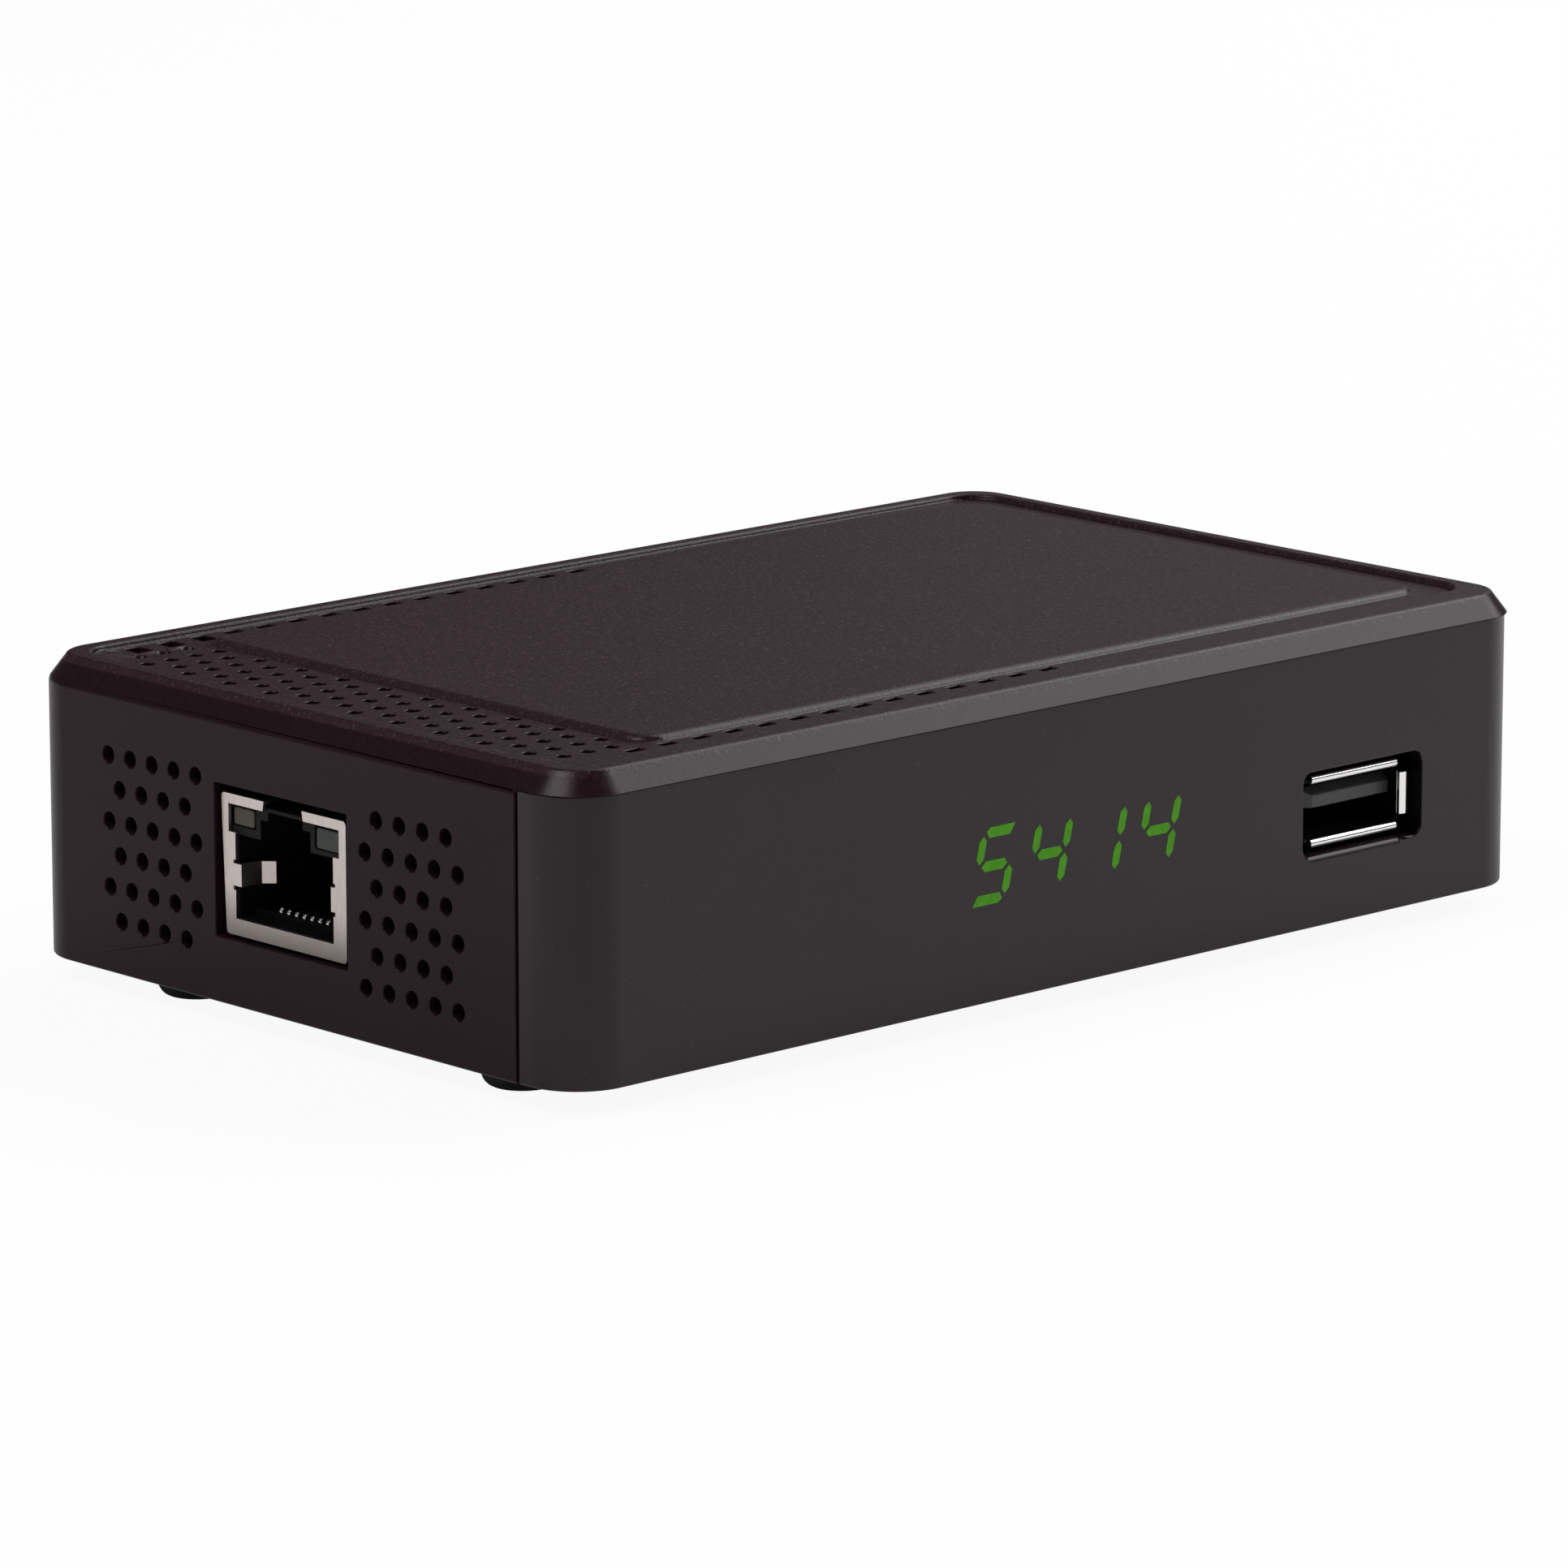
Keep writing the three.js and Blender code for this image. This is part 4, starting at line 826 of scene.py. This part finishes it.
def jack_housing():
    """The moulding inside the shield, with its plug space, latch channel and lamp wells."""
    front, back = JACK_SIDES
    face, end = JACK_FACE + SHEET + 0.05, JACK_BACK - SHEET - 0.3
    body = block("jack_housing", (face, end), (front + 0.65, back - 0.65), (JACK_LOW, JACK_HIGH - 0.65))
    left, right = back - 4.42, front + 5.08  # sides of the channel for the plug's latch
    latch_channel = [
        (right, PLUG_TOP - 0.1), (left, PLUG_TOP - 0.1), (left, 16.5), (left - 1.0, 16.5),
        (left - 1.0, LATCH_TOP), (right + 1.0, LATCH_TOP), (right + 1.0, 16.5), (right, 16.5),
    ]
    openings = [
        (12.5, box_outline((JACK_MIDDLE - 6.4, JACK_MIDDLE + 6.5), (PLUG_FLOOR, PLUG_TOP))),
        (12.2, latch_channel),
        (4.2, rounded((left + 0.62, back - 0.66), (15.5, 17.5), 0.2, 3)),
        (4.2, rounded((front + 0.7, right - 0.62), (15.2, 17.5), 0.2, 3)),
    ]
    cut(body, *[prism("opening", "x", face - PAST, face + depth, outline) for depth, outline in openings])
    ledge = block("ledge", (JACK_FACE + 1.72, JACK_FACE + 1.95), (JACK_MIDDLE - 6.5, JACK_MIDDLE + 6.6),
                  (PLUG_FLOOR - 0.2, 8.24))
    ribs = [
        block("rib", (JACK_FACE + 2.7, face + 12.6), (y - 0.28, y + 0.28), (PLUG_FLOOR - 0.2, 7.9))
        for y in (CONTACT_MIDDLE + CONTACT_PITCH * place for place in range(-4, 5))
    ]
    join(body, ledge, *ribs)
    small_faces(body)
    soften(body, 0.06, 2, 30)
    dress(body, HOUSING, "plastic", "network_jack_housing")
    # painted shade on the housing's faces below 10 mm: the ledge and ribs low in the plug space
    paint(body, PAINTED_SHADE, lambda middle, normal: middle.z < 10)


def jack_lamps():
    front, back = JACK_SIDES
    x = JACK_FACE + SHEET + 0.12
    for name, material, slot, y, z in (
        ("rear", AMBER, "amber", (back - 3.5, back - 0.78), (15.56, 17.14)),
        ("front", GREEN, "green", (front + 0.85, front + 4.36), (15.24, 17.12)),
    ):
        lens = prism(f"jack_lamp_{name}", "x", x, x + 3.6, rounded(y, z, 0.25, 4))
        soften(lens, 0.12, 3, 30)
        dress(lens, material, slot, f"network_jack_lamp_{name}")


def jack_contacts():
    """Eight small sprung wires, each hooked over at its front."""
    x = JACK_FACE + 2.05
    level = 8.34
    foot = PLUG_FLOOR + 0.02
    outer, inner = 0.3, 0.06

    def hook(radius):
        return [(x + outer - radius * math.cos(angle), level + radius * math.sin(angle))
                for angle in (math.pi / 16 * step for step in range(12))]

    outline = [(x, foot), *hook(outer), (x + 1.2, PLUG_FLOOR + 0.1), (x + 0.95, foot),
               *hook(inner)[::-1], (x + outer - inner, foot)]
    for number in range(8):
        y = CONTACT_MIDDLE + (number - 3.5) * CONTACT_PITCH
        contact = prism(f"spring_contact_{number + 1}", "y", y - 0.17, y + 0.17, outline)
        small_faces(contact)
        soften(contact, 0.05, 2, 40)
        dress(contact, CONTACT, "gold", f"network_jack_contact_{number + 1}")


# ---------- serial bus socket ----------

LIP = 0.44
WIDE_LIP = 0.72
TUBE_START = BUS_FACE + 0.75
TUBE_DEPTH = 14


def lip_profile(edge, sign, wide=LIP):
    """A lip with a rolled front, as (across, depth) from the outside of the tube at `edge`."""
    roll = [(0.03 + wide * math.sin(angle), BUS_FACE + LIP - LIP * math.cos(angle))
            for angle in (math.radians(-62 + 12.4 * step) for step in range(11))]
    outline = [(-SHEET, BUS_FACE + 0.9), (-SHEET, BUS_FACE + 0.45), *roll,
               (wide - 0.02, BUS_FACE + 0.42), (0.06, BUS_FACE + 0.6), (0.0, BUS_FACE + 0.9)]
    return [(edge + sign * across, depth) for across, depth in outline]


def bus_lips():
    """Flared lips above, below and at the right of the tube."""
    lips = []
    for edge, sign in ((BUS_Z[0], -1), (BUS_Z[1], 1)):
        outline = [(depth, across) for across, depth in lip_profile(edge, sign)]
        lips.append(prism("lip", "x", BUS_X[0] + 1.02, BUS_X[1] - 1.02, outline))
    lips.append(prism("lip", "z", BUS_Z[0] + 0.93, BUS_Z[1] - 0.93,
                      lip_profile(BUS_X[1] + 0.05, 1, WIDE_LIP)))
    return lips


def bus_legs():
    legs = []
    for y in (BUS_FACE + 5.15, BUS_FACE + 9.6):
        for edge in (BUS_X[0] + SHEET / 2, BUS_X[1] - SHEET / 2):
            legs.append(block("leg", (edge - SHEET / 2, edge + SHEET / 2), (y, y + 2.2),
                              (JACK_LOW, BUS_Z[0] + 2 * SHEET)))
    return legs


def in_tube(middle, normal):
    """Picks the inside of the bus socket's tube, with the edge at its mouth, for painted shade."""
    depth = middle.y - BUS_FACE
    inward = (Vector((PORT_X, BUS_FACE + 7, PORT_LEVEL)) - middle).dot(normal)
    at_mouth = 0.71 < depth < 0.81
    return at_mouth or (abs(normal.y) < 0.3 and depth > 0.8 and inward > 1.5)


def bus_shell():
    tube = prism("plated_shell", "y", TUBE_START, BUS_FACE + TUBE_DEPTH, rounded(BUS_X, BUS_Z, 0.7, 5))
    bore = prism("bore", "y", BUS_FACE, BUS_FACE + TUBE_DEPTH - SHEET,
                 rounded((BUS_X[0] + SHEET, BUS_X[1] - SHEET), (BUS_Z[0] + SHEET, BUS_Z[1] - SHEET), 0.35, 5))
    cut(tube, bore)
    join(tube, *bus_lips(), *bus_legs())
    small_faces(tube)
    soften(tube, 0.05, 2, 34)
    dress(tube, CHROME, "chrome", "bus_socket_shell")
    # painted shade inside the plated tube and on the edge at its mouth
    paint(tube, PAINTED_SHADE, in_tube)


def bus_insulator():
    """The tongue that carries the contacts, sloped at its front, with its block at the rear."""
    low, high = box_in_mm("bus_socket_insulator")
    top = BUS_Z[1] - SHEET - 0.78
    left, right = PORT_X - 5.55, PORT_X + 5.55
    face = BUS_FACE + 1.6
    plan = [(left, high.y), (left, face + 1.2), (left + 1.75, face),
            (right + 0.45, face), (right + 0.6, face + 0.15), (right + 0.6, high.y)]
    tongue = prism("tongue", "z", top - 1.84, top, plan)
    slope = prism("slope", "x", low.x - PAST, high.x + PAST,
                  [(face - 0.1, top - 0.82), (face + 0.92, top + 0.1), (face - 0.1, top + 0.1)])
    cut(tongue, slope)
    join(tongue, block("rear", (low.x, high.x), (high.y - 3, high.y), (low.z, high.z)))
    small_faces(tongue)
    soften(tongue, 0.09, 3, 30)
    dress(tongue, TONGUE, "plastic", "bus_socket_insulator")


# ---------- display ----------

SHOWN = "5414"
DIGIT_LEVEL = 11.92
DIGITS_MIDDLE = 0.32
DIGIT_STEP = 6.65
DIGIT_LEAN = math.tan(math.radians(13))
DIGIT_HALF = (1.85, 2.9)
STROKE = 0.9
STROKE_GAP = 0.24
LIT = {"5": "afgcd", "4": "fgbc", "1": "bc"}


def lozenge(x0, z0, x1, z1, half, tip, start=0.0, end=0.0):
    """The outline of one bar with pointed ends; `start` and `end` push a point to one side."""
    ux, uz = x1 - x0, z1 - z0
    length = math.hypot(ux, uz)
    ux, uz = ux / length, uz / length

    def at(x, z, run, side):
        return x + ux * run - uz * side * half, z + uz * run + ux * side * half

    return [at(x0, z0, 0, start), at(x0, z0, tip, -1), at(x1, z1, -tip, -1),
            at(x1, z1, 0, end), at(x1, z1, -tip, 1), at(x0, z0, tip, 1)]


def digit_bars(figure, middle):
    """The outlines of a figure's lit bars, leaning to the right."""
    w, h = DIGIT_HALF
    gap = STROKE_GAP
    flat = (STROKE * 0.5, 0.42)
    upright = (STROKE * 0.47, 0.45)
    bars_at = {
        "a": (-w + gap, h, w - gap + 0.1, h, *flat, 0.3, 1.0),
        "g": (-w + gap + 0.1, 0, w - gap - 0.1, 0, *flat),
        "d": (-w + gap - 0.2, -h, w - gap, -h, *flat, -1.0, -0.3),
        "f": (-w, gap, -w, h - gap, *upright),
        "b": (w, gap, w, h - gap, *upright),
        "c": (w, -h + gap, w, -gap, *upright),
    }
    return [
        [(middle + x + z * DIGIT_LEAN, DIGIT_LEVEL + z) for x, z in lozenge(*bars_at[name])]
        for name in LIT[figure]
    ]


def display():
    bars = []
    for place, figure in enumerate(SHOWN):
        bars.extend(digit_bars(figure, DIGITS_MIDDLE + (place - 1.5) * DIGIT_STEP))
    lit = prisms("lit_figures", "y", PANEL_FACE - 0.02, PANEL_FACE + 0.02, bars)
    dress(lit, SEGMENT, "panel")


# ---------- carried-over nodes ----------

def carry(material, width, *names):
    """Gives solids of the frame a finish and a fine rounded edge."""
    for name in names:
        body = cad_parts[name]
        body.data.materials.clear()
        body.data.materials.append(material)
        soften(body, width, 2, 40)


# ---------- set ----------

FLOOR_HALF = 3  # metres
FLOOR_GLOW = 0.93
MIRRORED_GLOW = 0.12
ROOM_LIGHT = 0.08

# The camera, fitted to the casing's edges: focal length, place and direction
LENS = 196.733
EYE = (-508.434, -540.925, 176.642)
LOOK = (0.667948, 0.711925, -0.216814)


def floor_finish():
    """Pale paper that looks near white by itself and keeps the object's shadow."""
    paper = Finish("pale_floor", Base_Color=(0.95, 0.95, 0.95, 1), Roughness=0.9, Specular_IOR_Level=0.2)
    straight, glossy, passed = [
        add_node(paper.tree, "ShaderNodeLightPath", out=f"Is {kind} Ray")
        for kind in ("Camera", "Glossy", "Transmission")]
    white = add_node(paper.tree, "ShaderNodeEmission", Color=(1, 1, 1, 1), Strength=1.0)
    mixed = add_node(
        paper.tree, "ShaderNodeMixShader",
        i0=straight * FLOOR_GLOW + (glossy + passed) * MIRRORED_GLOW,
        i1=Shade(paper.shader.outputs[0]), i2=white,
    )
    feed(paper.tree, paper.tree.nodes["Material Output"].inputs["Surface"], mixed)
    return paper.material


def studio():
    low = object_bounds()[0][2]
    sheet = bpy.data.meshes.new("floor")
    corners = box_outline((-FLOOR_HALF, FLOOR_HALF), (-FLOOR_HALF, FLOOR_HALF))
    sheet.from_pydata([(x, y, low) for x, y in corners], [], [(0, 1, 2, 3)])
    sheet.materials.append(floor_finish())
    ground = bpy.data.objects.new("floor", sheet)
    bpy.context.scene.collection.objects.link(ground)

    world = bpy.data.worlds.new("soft_room")
    bpy.context.scene.world = world
    world.use_nodes = True
    background = world.node_tree.nodes["Background"]
    background.inputs["Color"].default_value = (1, 1, 1, 1)
    background.inputs["Strength"].default_value = ROOM_LIGHT


def softbox(name, direction, distance, size, power, aim=(0, 0, 0.02)):
    """A rectangular lamp that faces the aim from a direction; lengths in metres, power in watts."""
    lamp = bpy.data.lights.new(name, "AREA")
    lamp.shape = "RECTANGLE"
    lamp.size, lamp.size_y = size
    lamp.energy = power
    body = bpy.data.objects.new(name, lamp)
    bpy.context.scene.collection.objects.link(body)
    direction = Vector(direction).normalized()
    body.location = Vector(aim) + direction * distance
    body.rotation_euler = direction.to_track_quat("Z", "Y").to_euler()


def camera():
    lens = bpy.data.cameras.new("camera")
    lens.lens = LENS
    lens.sensor_width = 36.0
    lens.clip_end = 20
    body = bpy.data.objects.new("camera", lens)
    bpy.context.scene.collection.objects.link(body)
    turn = Vector(LOOK).normalized().to_track_quat("-Z", "Y")
    body.matrix_world = Matrix.Translation(floor_middle + Vector(EYE) * MM) @ turn.to_matrix().to_4x4()
    bpy.context.scene.camera = body


camera()
studio()
softbox("key", (0.74, -0.36, 0.57), distance=1.2, size=(0.76, 0.6), power=6.6)
softbox("fill", (-0.56, 0.10, 0.82), distance=1.2, size=(0.65, 0.65), power=6.9)
softbox("overhead", (0.66, 0.1, 0.745), distance=1.3, size=(0.8, 0.8), power=7)
softbox("back", (0.72, 0.54, 0.22), distance=0.65, size=(0.3, 0.3), power=0.09, aim=(0.03, 0, 0.02))

top_cover()
front_panel()
feet()
jack_shield()
jack_housing()
jack_lamps()
jack_contacts()
bus_shell()
bus_insulator()
display()

carry(COVER, 0.12, "bottom_cover", "rear_panel")
carry(BOARD, 0.06, "main_board")
carry(STEEL, 0.12, *[f"{kind}_screw_{place}" for kind in ("case", "board") for place in CORNERS])
carry(GOLD, 0.05, *[f"bus_socket_contact_{number}" for number in range(1, 5)])
carry(GOLD, 0.08, "power_jack_pin", "aerial_out_pin")
carry(BLACK, 0.1, "display_module", "remote_eye", "power_jack", "video_socket_tongue", "audio_jack")
carry(TIN, 0.06, "video_socket_shell", "aerial_out_shell", "aerial_in_shell")
carry(TIN, 0.15, "tuner_can")
carry(PALE, 0.06, "aerial_out_seat", "aerial_in_core")
carry(CHIP, 0.08, "main_chip", "memory_chip", "flash_chip", "network_transformer")
carry(FERRITE, 0.12, "power_inductor")
carry(ALLOY, 0.08, "heat_sink")
carry(STEEL, 0.15, "crystal")
carry(SLEEVE, 0.15, "capacitor_left", "capacitor_right")

bpy.context.scene.view_settings.view_transform = "Standard"
